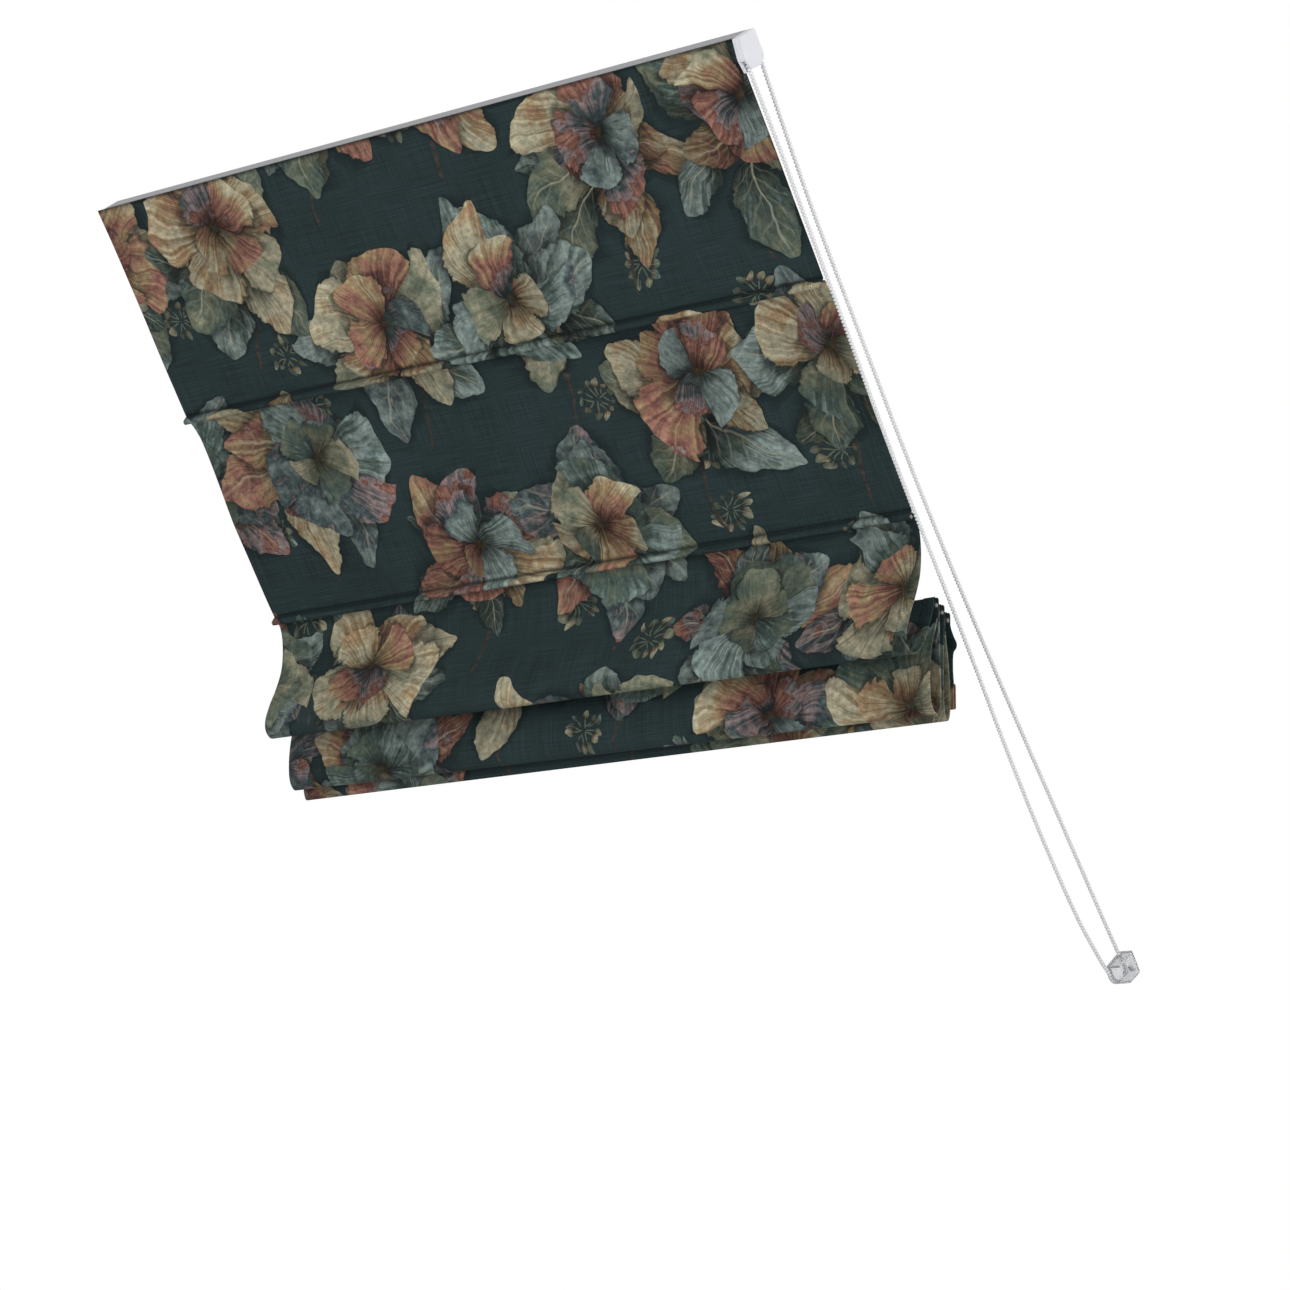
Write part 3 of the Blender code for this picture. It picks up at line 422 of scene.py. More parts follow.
def node_group(name, inputs, outputs):
    """A node group with float inputs, and float or colour outputs; returns its tree and input fields."""
    group = bpy.data.node_groups.new(name, "ShaderNodeTree")
    for label in inputs:
        group.interface.new_socket(label, in_out="INPUT", socket_type="NodeSocketFloat")
    for label, kind in outputs:
        group.interface.new_socket(label, in_out="OUTPUT", socket_type=f"NodeSocket{kind}")
    entry = group.nodes.new("NodeGroupInput")
    return group, {label: Field(group, entry.outputs[label]) for label in inputs}


def group_result(group, values):
    leave = group.nodes.new("NodeGroupOutput")
    for label, value in values.items():
        plug(group, leave.inputs[label], value)


def use_group(tree, group, values):
    """Adds a group to a tree and returns its output sockets by name."""
    node = tree.nodes.new("ShaderNodeGroup")
    node.node_tree = group
    for label, value in values.items():
        plug(tree, node.inputs[label], value)
    return node.outputs


# Print colours, from rust through ochre, cream, sage and blue-grey to mauve
PALETTE = [
    (0.00, (0.130, 0.058, 0.046)),
    (0.10, (0.275, 0.137, 0.102)),
    (0.20, (0.290, 0.207, 0.112)),
    (0.31, (0.380, 0.348, 0.240)),
    (0.46, (0.150, 0.170, 0.118)),
    (0.61, (0.060, 0.092, 0.080)),
    (0.75, (0.215, 0.270, 0.250)),
    (0.88, (0.042, 0.065, 0.070)),
    (1.00, (0.250, 0.185, 0.180)),
]

# The cloth's ground, the print's stems, stalks, flower hearts and shadows, the stitching and leaf ribs
GROUND = (0.0225, 0.0390, 0.0410)
STEM = (0.034, 0.029, 0.024)
STALK = (0.110, 0.125, 0.085)
POLLEN = (0.090, 0.060, 0.030)
SHADE = (0.003, 0.006, 0.007)
THREAD = (0.030, 0.052, 0.055)
RIB = (0.420, 0.400, 0.290)
RING_INPUTS = [
    "x", "y", "turn", "count", "base", "length", "width", "hue", "spread", "seed", "wash", "fleck",
]
PRINT_OUTPUTS = [("cover", "Float"), ("colour", "Color"), ("shadow", "Float")]


def ring_group(leafy):
    """A ring of leaves on stalks, or of petals, round (x, y) = (0, 0): its cover, colour and shadow."""
    group, at = node_group("leaf_ring" if leafy else "petal_ring", RING_INPUTS, PRINT_OUTPUTS)
    turns = (at["y"].math("ARCTAN2", at["x"]) + at["turn"]) * at["count"] / (2 * math.pi)
    sector = turns.floor()
    chance, second, third = lot(sector.math("FLOORED_MODULO", at["count"]) * 1.37 + at["seed"])
    away = (turns - sector - 0.5) * (2 * math.pi) / at["count"] + (chance - 0.5) * 0.25
    radius = (at["x"] * at["x"] + at["y"] * at["y"]) ** 0.5
    along = radius * away.cos() - at["base"]
    reach = at["length"] * (0.68 + second * 0.5)
    share = (along / reach).most(0.0001).least(1.0)
    across = radius * away.sin() + along * along / reach * (third - 0.5) * 0.9
    ragged = (line_noise(share * 2.2 + chance * 40, 3.4, 2.0, 0.6) - 0.5) * 0.40 + 1.0
    if leafy:
        outline = (share**0.62) * ((1.0 - share) ** 0.80) * 1.90
    else:
        outline = (share**0.85) * ((1.0 - share) ** 0.34) * 1.52
    half = outline * ragged * at["width"] * reach
    side = (across / (half + 0.0003)).abs()
    cover = step(side, 1.0, 0.94) * step(share, 0.0, 0.03) * step(share, 1.0, 0.985)
    shadow = step(side, 1.7, 0.7) * step(share, 0.0, 0.10) * step(share, 1.0, 0.94)

    lane = across / (share * reach + 0.014)
    streak = line_noise(lane * 2.7 + second * 60, 3.4, 4.0, 0.72)
    drift = (at["wash"] - 0.5) * 0.60 + (share - 0.5) * (chance - 0.30) * 0.60
    tone = at["hue"] + (third - 0.5) * at["spread"] + drift + (streak - 0.5) * 0.20
    colour = ramp(tone.math("FLOORED_MODULO", 1.0), PALETTE)
    lines = step(streak, 0.38, 0.62)
    light = (0.14 + lines * 0.42 + share * 0.70) * (0.16 + at["fleck"] * 1.64)
    light = light * (1.0 - step(side, 0.80, 1.0) * 0.22) * (1.0 - step(share, 0.46, 0.0) * 0.74)
    colour = dimmed(group, colour, light * (second * 0.66 + (0.46 if leafy else 0.58)))
    if leafy:
        rib = step((across / reach).abs(), 0.018, 0.004) * step(share, 1.0, 0.70)
        vein = step(((share * 11 - side * 3.0) * 3.3).sin(), 0.72, 0.99) * step(side, 1.0, 0.5)
        colour = mixed(group, (rib * 0.42 + vein * 0.15).least(1.0), colour, (*RIB, 1))
        stalk = step(across.abs(), 0.0011, 0.0006) * step(along, 0.002, -0.002) * step(radius, 0.0, 0.004)
        colour = mixed(group, stalk, colour, (*STALK, 1))
        cover = cover.most(stalk)
    group_result(group, {"cover": cover, "colour": colour, "shadow": shadow})
    return group


# leafy, turn, count, base, length, width, hue and spread of each ring, and its sway from the bouquet's
# middle, outermost first
RINGS = [
    (True, 0.35, 5.0, 0.026, 0.096, 0.44, 0.70, 0.44, 0.00),
    (True, 1.00, 4.0, 0.018, 0.086, 0.54, 0.54, 0.46, 0.35),
    (False, 0.20, 5.0, 0.004, 0.080, 0.66, 0.32, 0.46, 1.00),
    (False, 0.85, 4.0, 0.001, 0.052, 0.70, 0.16, 0.44, 1.00),
]


def cell_of(at, across, down, middle, seed, jitter):
    """A half-drop lattice: place from the middle of the nearest cell, and the cell's random numbers."""
    column = (at[0] / across).floor()
    lowered = at[1] / down + column.math("FLOORED_MODULO", 2.0) * 0.5
    row = lowered.floor()
    chances = lot(column * 3.71 + row * 11.93 + seed)
    x = at[0] - (column + 0.5) * across + (chances[0] - 0.5) * jitter
    y = (lowered - row - middle) * down + (chances[1] - 0.5) * jitter
    return x, y, chances


def bouquet_group(rings):
    """A bouquet on a stem in each cell of a lattice, with a flower in front of its leaves."""
    inputs = ["u", "v", "across", "down", "seed", "hue", "size", "wash", "fleck"]
    group, at = node_group("bouquet", inputs, PRINT_OUTPUTS)
    place = (at["u"], at["v"])
    x, y, chances = cell_of(place, at["across"], at["down"], 0.47, at["seed"], 0.034)
    chance, second, third = chances
    x = x / at["size"]
    y = y / at["size"]

    curve = (y * 19 + third * 3).sin() * 0.012 - 0.004
    knots = line_noise(y + chance * 9, 130.0, 1.0)
    thick = (0.0014 + step(y, 0.16, 0.02) * 0.0016) * (0.6 + knots)
    stem = step((x - curve).abs() / thick, 1.1, 0.8) * step(y, 0.004, 0.012) * step(y, 0.150, 0.138)
    colour = dimmed(group, (*STEM, 1), 0.5 + knots * 1.6)
    cover = stem
    shadow = stem * 0.5
    sway = (chance - 0.5) * 0.050
    dip = (second - 0.8) * 0.045
    for index, (leafy, turn, count, base, length, width, hue, spread, moved) in enumerate(RINGS):
        made = use_group(
            group,
            rings[leafy],
            {
                "x": x - sway * moved,
                "y": y - dip * moved,
                "turn": third * 6.0 + turn,
                "count": (second * 1.99).floor() + count,
                "base": base,
                "length": length,
                "width": width,
                "hue": at["hue"] + hue + (second - 0.5) * 0.7,
                "spread": spread,
                "seed": third * 97 + (index * 13.0 + 3.0),
                "wash": at["wash"],
                "fleck": at["fleck"],
            },
        )
        ring_shadow = Field(group, made["shadow"])
        ring_cover = Field(group, made["cover"])
        colour = mixed(group, ring_shadow * 0.85, colour, (*SHADE, 1))
        colour = mixed(group, ring_cover, colour, made["colour"])
        shadow = shadow.most(ring_shadow)
        cover = cover.most(ring_cover)
    heart = ((x - sway) * (x - sway) + (y - dip) * (y - dip)) ** 0.5
    heart = step(heart + (at["fleck"] - 0.5) * 0.022, 0.0070, 0.0030)
    pollen = dimmed(group, (*POLLEN, 1), at["fleck"] * at["fleck"] * 1.6)
    colour = mixed(group, heart, colour, pollen)
    group_result(group, {"cover": cover, "colour": colour, "shadow": shadow})
    return group


# u and v moves, seed, hue and size of each lattice of bouquets, then the cells of these and of the buds
LATTICES = [
    (0.205, 0.060, 11.0, 0.00, 1.00),
    (0.385, 0.202, 29.0, 0.12, 1.04),
]
BOUQUET_CELL = (0.36, 0.285)
BUD_CELL = (0.128, 0.100)


def umbels(tree, place, wash, fleck, leaf_ring, colour):
    """Small buds on thin stalks in some cells of a lattice, over a colour."""
    x, y, chances = cell_of(place, *BUD_CELL, 0.5, 41.0, 0.040)
    made = use_group(
        tree,
        leaf_ring,
        {
            "x": x,
            "y": y,
            "turn": chances[2] * 6.0,
            "count": 11.0,
            "base": 0.014,
            "length": 0.013,
            "width": 0.52,
            "hue": 0.36 + chances[1] * 0.2,
            "spread": 0.34,
            "seed": chances[2] * 61 + 1.0,
            "wash": wash,
            "fleck": fleck,
        },
    )
    shown = Field(tree, made["cover"]) * step(chances[0], 0.42, 0.44)
    return mixed(tree, shown, colour, made["colour"])


def cloth_material():
    """Linen with a painterly print of bouquets over a dark ground, and painted shade beside its seams."""
    made, tree, shader = new_material("printed_cloth")
    coords = tree.nodes.new("ShaderNodeUVMap")
    coords.uv_map = "cloth"
    u, v, _ = parts_of(tree, coords.outputs[0])
    weft = mottle(tree, vector(tree, u * 16, v * 850), 1.0, 2.0, 0.6)
    warp = mottle(tree, vector(tree, u * 850, v * 16, 4.0), 1.0, 2.0, 0.6)
    patch = mottle(tree, vector(tree, u, v, 9.0), 10.0, 3.0)
    bend = mottle(tree, vector(tree, u, v, 2.0), 17.0, 2.0)
    swing = mottle(tree, vector(tree, u, v, 7.0), 17.0, 2.0)
    wash = mottle(tree, vector(tree, u, v, 14.0), 32.0, 3.0, 0.6)
    fleck = mottle(tree, vector(tree, u, v, 21.0), 150.0, 3.0, 0.65)
    slub = weft * 0.55 + warp * 0.45
    warped_u = u + (bend - 0.5) * 0.034
    warped_v = v + (swing - 0.5) * 0.034
    colour = dimmed(tree, (*GROUND, 1), 0.13 + slub * 1.50 + (patch - 0.5) * 0.45)
    rings = {leafy: ring_group(leafy) for leafy in (True, False)}
    colour = umbels(tree, (warped_u, warped_v), wash, fleck, rings[True], colour)
    group = bouquet_group(rings)
    for move_u, move_v, seed, hue, size in LATTICES:
        bunch = use_group(
            tree,
            group,
            {
                "u": warped_u + move_u,
                "v": warped_v + move_v,
                "across": BOUQUET_CELL[0],
                "down": BOUQUET_CELL[1],
                "seed": seed,
                "hue": hue,
                "size": size,
                "wash": wash,
                "fleck": fleck,
            },
        )
        colour = mixed(tree, Field(tree, bunch["shadow"]) * 0.7, colour, (*SHADE, 1))
        colour = mixed(tree, bunch["cover"], colour, bunch["colour"])
    sewing = tree.nodes.new("ShaderNodeAttribute")
    sewing.attribute_name = "sewing"
    seam, across, along = parts_of(tree, sewing.outputs["Vector"])
    hem = ((across - CLOTH_WIDTH / 2).abs() - (CLOTH_WIDTH / 2 - HEM_STITCH)).abs()
    thread = step(seam, 0.0007, 0.0004) * step((across * STITCH_TURN).sin(), -0.5, 0.0)
    thread = thread.most(step(hem, 0.0006, 0.0003) * step((along * STITCH_TURN).sin(), -0.5, 0.0))
    # Painted shade: the crease factor darkens the cloth to 0.3 at each seam, fading out by 5.5 mm, where
    # shade falls beside the stitch lines
    crease = 1.0 - step(seam, 0.0055, 0.0) * 0.7
    colour = dimmed(tree, colour, (0.66 + slub * 0.68) * crease)
    colour = mixed(tree, thread, colour, (*THREAD, 1))
    tree.links.new(colour, shader.inputs["Base Color"])
    shader.inputs["Roughness"].default_value = 0.88
    shader.inputs["Specular IOR Level"].default_value = 0.15
    bump(tree, shader, slub + thread * 0.7, 0.00022, 0.7)
    return made


def moulded(name, colour):
    """Moulded plastic: a faint grain and a slightly uneven sheen."""
    made, tree, shader = new_material(name)
    place = place_of(tree)
    cloud = mottle(tree, place, 60.0, 3.0)
    base = dimmed(tree, (*colour, 1), 0.975 + cloud * 0.05)
    tree.links.new(base, shader.inputs["Base Color"])
    plug(tree, shader.inputs["Roughness"], 0.32 + cloud * 0.12)
    bump(tree, shader, mottle(tree, place, 2200.0, 2.0), 0.00004, 0.5)
    return made


def painted_rail():
    """Powder-coated aluminium: fine orange peel, slightly rougher along the rail's drawing lines."""
    made, tree, shader = new_material("rail_paint")
    place = place_of(tree)
    peel = mottle(tree, place, 1500.0, 2.0)
    x, y, z = parts_of(tree, place)
    drawn = mottle(tree, vector(tree, x * 2, y * 700, z * 700), 1.0, 2.0)
    base = dimmed(tree, (0.42, 0.42, 0.44, 1), 0.95 + drawn * 0.10)
    tree.links.new(base, shader.inputs["Base Color"])
    plug(tree, shader.inputs["Roughness"], 0.42 + drawn * 0.14)
    shader.inputs["Specular IOR Level"].default_value = 0.06
    bump(tree, shader, peel, 0.00005, 0.5)
    return made


def drawn_rod():
    """Fibreglass: long pale fibres under a satin skin."""
    made, tree, shader = new_material("fibreglass")
    x, y, z = parts_of(tree, place_of(tree))
    fibres = mottle(tree, vector(tree, x * 12, y * 2500, z * 2500), 1.0, 3.0)
    colour = ramp(fibres, [(0.3, (0.16, 0.155, 0.135)), (0.7, (0.27, 0.26, 0.23))])
    tree.links.new(colour, shader.inputs["Base Color"])
    shader.inputs["Roughness"].default_value = 0.42
    bump(tree, shader, fibres, 0.00006, 0.6)
    return made


def brushed_metal(name, colour, roughness):
    made, tree, shader = new_material(name)
    x, y, z = parts_of(tree, place_of(tree))
    lines = mottle(tree, vector(tree, x * 300, y * 1800, z * 1800), 1.0, 2.0)
    base = dimmed(tree, (*colour, 1), 0.9 + lines * 0.2)
    tree.links.new(base, shader.inputs["Base Color"])
    shader.inputs["Metallic"].default_value = 1.0
    plug(tree, shader.inputs["Roughness"], roughness + lines * 0.08)
    bump(tree, shader, lines, 0.00003, 0.4)
    return made


def pile_strip():
    """Hook and loop strip: a dense black pile."""
    made, tree, shader = new_material("black_strip")
    pile = mottle(tree, place_of(tree), 2600.0, 2.0, 0.8)
    colour = ramp(pile, [(0.3, (0.006, 0.006, 0.007)), (0.75, (0.035, 0.035, 0.038))])
    tree.links.new(colour, shader.inputs["Base Color"])
    shader.inputs["Roughness"].default_value = 0.95
    bump(tree, shader, pile, 0.0006, 0.9)
    return made


def braid():
    """A fine braided cord: two sets of strands that cross."""
    made, tree, shader = new_material("white_cord")
    x, _, z = parts_of(tree, place_of(tree))
    strands = ((x * 5200 + z * 4200).sin() + (x * 5200 - z * 4200).sin()) * 0.25 + 0.5
    colour = ramp(strands, [(0.1, (0.42, 0.42, 0.41)), (0.7, (0.74, 0.74, 0.72))])
    tree.links.new(colour, shader.inputs["Base Color"])
    shader.inputs["Roughness"].default_value = 0.75
    bump(tree, shader, strands, 0.0002, 0.8)
    return made


def bead_plastic():
    made, tree, shader = new_material("chain_plastic")
    tone = mottle(tree, place_of(tree), 240.0, 1.0)
    colour = ramp(tone, [(0.3, (0.64, 0.65, 0.67)), (0.7, (0.72, 0.72, 0.73))])
    tree.links.new(colour, shader.inputs["Base Color"])
    plug(tree, shader.inputs["Roughness"], 0.22 + tone * 0.16)
    bump(tree, shader, tone, 0.00005, 0.4)
    return made


def clear_plastic():
    """Clear moulded plastic, slightly grey, with faint flow lines."""
    made, tree, shader = new_material("clear_plastic")
    flow = mottle(tree, place_of(tree), 90.0, 2.0, 0.5)
    colour = ramp(flow, [(0.3, (0.70, 0.715, 0.74)), (0.7, (0.78, 0.79, 0.80))])
    tree.links.new(colour, shader.inputs["Base Color"])
    plug(tree, shader.inputs["Roughness"], 0.01 + flow * 0.04)
    shader.inputs["IOR"].default_value = 1.4
    shader.inputs["Transmission Weight"].default_value = 0.8
    bump(tree, shader, flow, 0.00006, 0.5)
    return made


class Stitch:
    """A stitch line across the cloth, with the tunnel for its rod sewn in front of it."""

    def __init__(self, neck, reach):
        self.neck = Vector(neck)
        self.along = Vector(reach).normalized()
        self.across = Vector((self.along.y, -self.along.x))

    def at(self, along, across):
        return self.neck + self.along * along + self.across * across

    def tunnel(self, steps=20):
        """The cloth from the stitch line, round the rod and back to the stitch line."""
        half = math.pi - math.acos((TUNNEL_RADIUS - NECK_HALF) / TUNNEL_REACH)
        line = [self.at(0, -NECK_HALF)]
        for index in range(steps + 1):
            angle = half * (2 * index / steps - 1)
            line.append(
                self.at(
                    TUNNEL_REACH + TUNNEL_RADIUS * math.cos(angle),
                    TUNNEL_RADIUS * math.sin(angle),
                )
            )
        line.append(self.at(0, NECK_HALF))
        return line

    def shoulder(self, side, steps=8):
        """The round top that the cloth turns over beside the stitch line, from outside to inside."""
        centre = (NECK_HALF + SHOULDER_RADIUS) * side
        line = []
        for index in range(steps + 1):
            angle = math.pi * index / steps
            line.append(
                self.at(
                    -SHOULDER_RADIUS * math.sin(angle),
                    centre + side * SHOULDER_RADIUS * math.cos(angle),
                )
            )
        return line


FLAT_REACH = (-0.955, 0.297)
PLUMB = hanging(0, 1)
STITCHES = [Stitch(place, FLAT_REACH) for place in scaled(FLAT_STITCHES)]
STITCHES += [Stitch(hanging(*place), PLUMB) for place in scaled(APEX_STITCHES)]
TUNNEL_ROWS = len(STITCHES[0].tunnel()[1:])


def fold(points, share=1.0):
    """Fold points, plumb, as (n, b), with the drop below their first point taken to a share."""
    top = points[0][1]
    return [hanging(back * MM, (top + (down - top) * share) * MM) for back, down in points]


def leave_flat(stitch):
    start = stitch.at(-SEAM, NECK_HALF)
    return [start, stitch.at(-1.0 * MM, 1.3 * MM), stitch.at(-1.2 * MM, 2.6 * MM)]


def leave_apex(stitch):
    line = list(reversed(stitch.shoulder(1)))
    line[0] = stitch.at(-SEAM, NECK_HALF)
    return line + [stitch.at(TUNNEL_REACH, PLY_REACH), stitch.at(9.5 * MM, PLY_REACH)]


def meet_apex(stitch):
    return [stitch.at(TUNNEL_REACH, -PLY_REACH)] + stitch.shoulder(-1)[:-1]


def cloth_columns():
    """Places across the width, close together at the side hems."""
    edge = [0, 0.7 * MM, 2 * MM, HEM - 1.4 * MM, HEM, HEM + 1.4 * MM]
    inner = int((CLOTH_WIDTH - 2 * edge[-1]) / COLUMN_STEP)
    middle = [edge[-1] + (CLOTH_WIDTH - 2 * edge[-1]) * i / inner for i in range(1, inner)]
    return edge + middle + [CLOTH_WIDTH - a for a in reversed(edge)]


COLUMNS = cloth_columns()


def ripple(a, v):
    """How far the cloth stands off its drawn line: long soft waves."""
    wide = noise.noise(Vector((a * 4.2, v * 7.0, 1.7)))
    narrow = noise.noise(Vector((a * 13.0, v * 16.0, 6.1)))
    return (wide * 1.1 + narrow * 0.35) * MM


def drape(lines, start, ripples):
    """Places, normals and cloth lengths of a stretch of cloth whose lines are given column by column."""
    rows = len(lines[0])
    middle = lines[len(lines) // 2]
    lengths = [start]
    for first, second in zip(middle, middle[1:]):
        lengths.append(lengths[-1] + (second - first).length)
    places = np.zeros((rows, len(COLUMNS), 3))
    for column, line in enumerate(lines):
        for row, point in enumerate(line):
            places[row, column] = spot(COLUMNS[column], point[0], point[1])
    normals = np.cross(np.gradient(places, axis=0), np.gradient(places, axis=1))
    normals /= np.linalg.norm(normals, axis=2, keepdims=True)
    for row in range(rows):
        for column in range(len(COLUMNS)):
            if ripples[row]:
                lift = ripple(COLUMNS[column], lengths[row]) * ripples[row]
                places[row, column] += normals[row, column] * lift
    return places, normals, lengths


def hem_depth(a):
    """Extra thickness of the side hems, on the back of the cloth."""
    inset = min(a, CLOTH_WIDTH - a)
    return HEM_EXTRA if inset < HEM else 0.0


def sheet_piece(name, places, normals, lengths, seams, first=0, last=None):
    """A thick mesh of the rows from first to last of a stretch of cloth, with its cloth coordinates.

    Its sewing attribute is the distance along the cloth to the nearest seam, then the cloth coordinates.
    """
    last = len(lengths) - 1 if last is None else last
    rows = range(first, last + 1)
    count = len(COLUMNS)
    front = [places[r] + normals[r] * CLOTH / 2 for r in rows]
    extra = np.array([hem_depth(a) for a in COLUMNS])[:, None]
    back = [places[r] - normals[r] * (CLOTH / 2 + extra) for r in rows]
    vertices = np.concatenate(front + back)
    total = len(rows) * count
    faces = []
    for r in range(len(rows) - 1):
        for c in range(count - 1):
            corner = r * count + c
            quad = (corner, corner + 1, corner + count + 1, corner + count)
            faces.append(quad[::-1])
            faces.append(tuple(i + total for i in quad))
    for r in range(len(rows) - 1):
        for c, flip in ((0, False), (count - 1, True)):
            corner = r * count + c
            quad = (corner, corner + count, corner + count + total, corner + total)
            faces.append(quad if flip else quad[::-1])
    for r, flip in ((0, False), (len(rows) - 1, True)):
        for c in range(count - 1):
            corner = r * count + c
            quad = (corner, corner + 1, corner + 1 + total, corner + total)
            faces.append(quad[::-1] if flip else quad)
    mesh = bpy.data.meshes.new(name)
    mesh.from_pydata([tuple(p) for p in vertices], [], faces)
    layer = mesh.uv_layers.new(name="cloth")
    for loop in mesh.loops:
        index = loop.vertex_index % total
        layer.data[loop.index].uv = (COLUMNS[index % count], lengths[first + index // count])
    sewing = mesh.attributes.new("sewing", "FLOAT_VECTOR", "POINT")
    for index, item in enumerate(sewing.data):
        row, column = divmod(index % total, count)
        along = lengths[first + row]
        near = min(abs(along - seam) for seam in seams)
        item.vector = (min(near, SEAM_REACH), COLUMNS[column], along)
    mesh.shade_smooth()
    mesh.set_sharp_from_angle(angle=math.radians(60))
    form = bmesh.new()
    form.from_mesh(mesh)
    bmesh.ops.recalc_face_normals(form, faces=form.faces)
    form.to_mesh(mesh)
    form.free()
    obj = bpy.data.objects.new(name, mesh)
    bpy.context.scene.collection.objects.link(obj)
    return obj


def finish_sheet(obj, material, nodes, length):
    obj.data.materials.append(material)
    if nodes:
        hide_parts(*nodes)


def share_at(a, left):
    """The share of a fold's drop at a place along the width."""
    return left + (1 - left) * a / CLOTH_WIDTH


def easing(count, ends, strength=1.0):
    """Ripple strength row by row, nothing at both ends."""
    return [strength * min(1, i / ends, (count - 1 - i) / ends) for i in range(count)]


def level_blend(obj, start, end, tilt):
    """Bakes a ply's transform into its mesh. Its places at its start and end levels, plumb below the
    cloth's top edge at its left end, are worked out but not used.

    Its tilt is how much lower the same level lies at its right end.
    """

    def place(a, down):
        return spot(a, *hanging(320 * MM, down))

    slope = tilt / CLOTH_WIDTH
    reach = end - start
    place(0, start)
    place(-slope * reach, end)
    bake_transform(obj)


def seams_of(lengths):
    """Where a stretch of cloth is sewn: at its start, before its tunnel and at the tunnel's end."""
    return [lengths[0], lengths[-1 - TUNNEL_ROWS], lengths[-1]]


def make_cloth(material):
    first, second, third, fourth, fifth = STITCHES
    length = 0.0

    free = through(scaled(PANEL_1), 8)
    line = free + first.tunnel()[1:]
    ripples = easing(len(free), 5) + [0.0] * (len(line) - len(free))
    places, normals, lengths = drape([line] * len(COLUMNS), length, ripples)
    piece = sheet_piece("cloth_panel_1", places, normals, lengths, seams_of(lengths))
    finish_sheet(piece, material, ["fabric_panel_1"], lengths[-1] - length)
    spot(0, 0, 26 * MM)
    spot(0, 0, 249 * MM)
    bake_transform(piece)
    length = lengths[-1]

    free = through(scaled(PANEL_2), 6)
    line = leave_flat(first) + free + second.tunnel()[1:]
    ripples = [0.0] * 3 + easing(len(free), 6) + [0.0] * (len(line) - len(free) - 3)
    places, normals, lengths = drape([line] * len(COLUMNS), length, ripples)
    piece = sheet_piece("cloth_panel_2", places, normals, lengths, seams_of(lengths))
    finish_sheet(piece, material, ["fabric_panel_2"], lengths[-1] - length)
    spot(0, 0, 262 * MM)
    spot(0, 0, 504 * MM)
    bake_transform(piece)
    length = lengths[-1]

    stretches = [
        ("loop_3", second, third, LOOP_3, LOOP_3_LEFT_SHARE, 8, 0.30),
        ("fold_4", third, fourth, FOLD_4, FOLD_4_LEFT_SHARE, 7, 0.14),
        ("fold_5", fourth, fifth, FOLD_5, FOLD_5_LEFT_SHARE, 5, 0.14),
    ]
    for number, (name, above, below, points, left, crease, weight) in enumerate(stretches, 3):
        lines = []
        for a in COLUMNS:
            free = through(fold(points, share_at(a, left)), FOLD_STEPS)
            start = leave_flat(above) if name == "loop_3" else leave_apex(above)
            lines.append(start + free + meet_apex(below) + below.tunnel()[1:])
        lead = len(start)
        rows = len(lines[0])
        cut = lead + crease * FOLD_STEPS
        ripples = [0.0] * lead + easing(len(free), 10, 0.7) + [0.0] * (rows - lead - len(free))
        ripples = [size * min(1, abs(row - cut) / CREASE_EASE) for row, size in enumerate(ripples)]
        places, normals, lengths = drape(lines, length, ripples)
        upper = f"rod_{number - 1}"
        seams = seams_of(lengths)
        front = sheet_piece(f"cloth_{name}_front", places, normals, lengths, seams, 0, cut)
        back = sheet_piece(f"cloth_{name}_back", places, normals, lengths, seams, cut)
        finish_sheet(front, material, [f"fabric_{name}"], lengths[cut] - lengths[0])
        finish_sheet(back, material, [f"fabric_{name}"], lengths[-1] - lengths[cut])
        bottom = points[crease][1] * MM
        left_bottom = (points[0][1] + (points[crease][1] - points[0][1]) * left) * MM
        turn = inverse_smooth(weight)
        top_level = plumb_level(above.neck) + (0 if name == "loop_3" else FOLD_REST)
        low_level = plumb_level(below.neck) + FOLD_REST
        reach = (left_bottom - top_level) / turn
        level_blend(front, top_level, top_level + reach, bottom - left_bottom)
        reach = (left_bottom - low_level) / (1 - turn)
        level_blend(back, low_level + reach, low_level, bottom - left_bottom)
        length = lengths[-1]

    hem = bar_hem()
    line = leave_apex(fifth) + through(fold(TAIL), FOLD_STEPS) + hem
    ripples = [0.0] * len(line)
    places, normals, lengths = drape([line] * len(COLUMNS), length, ripples)
    piece = sheet_piece("cloth_tail", places, normals, lengths, [lengths[0], lengths[-len(hem)]])
    finish_sheet(piece, material, ["fabric_tail"], lengths[-1] - length)
    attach(piece, "rod_5")


def plumb_level(place):
    """How far plumb below the cloth's top edge an (n, b) place lies."""
    return place[1] * math.cos(TILT) - place[0] * math.sin(TILT)


def inverse_smooth(weight):
    """The t at which 3t^2 - 2t^3 is a weight."""
    low, high = 0.0, 1.0
    for _ in range(40):
        middle = (low + high) / 2
        if middle * middle * (3 - 2 * middle) < weight:
            low = middle
        else:
            high = middle
    return (low + high) / 2


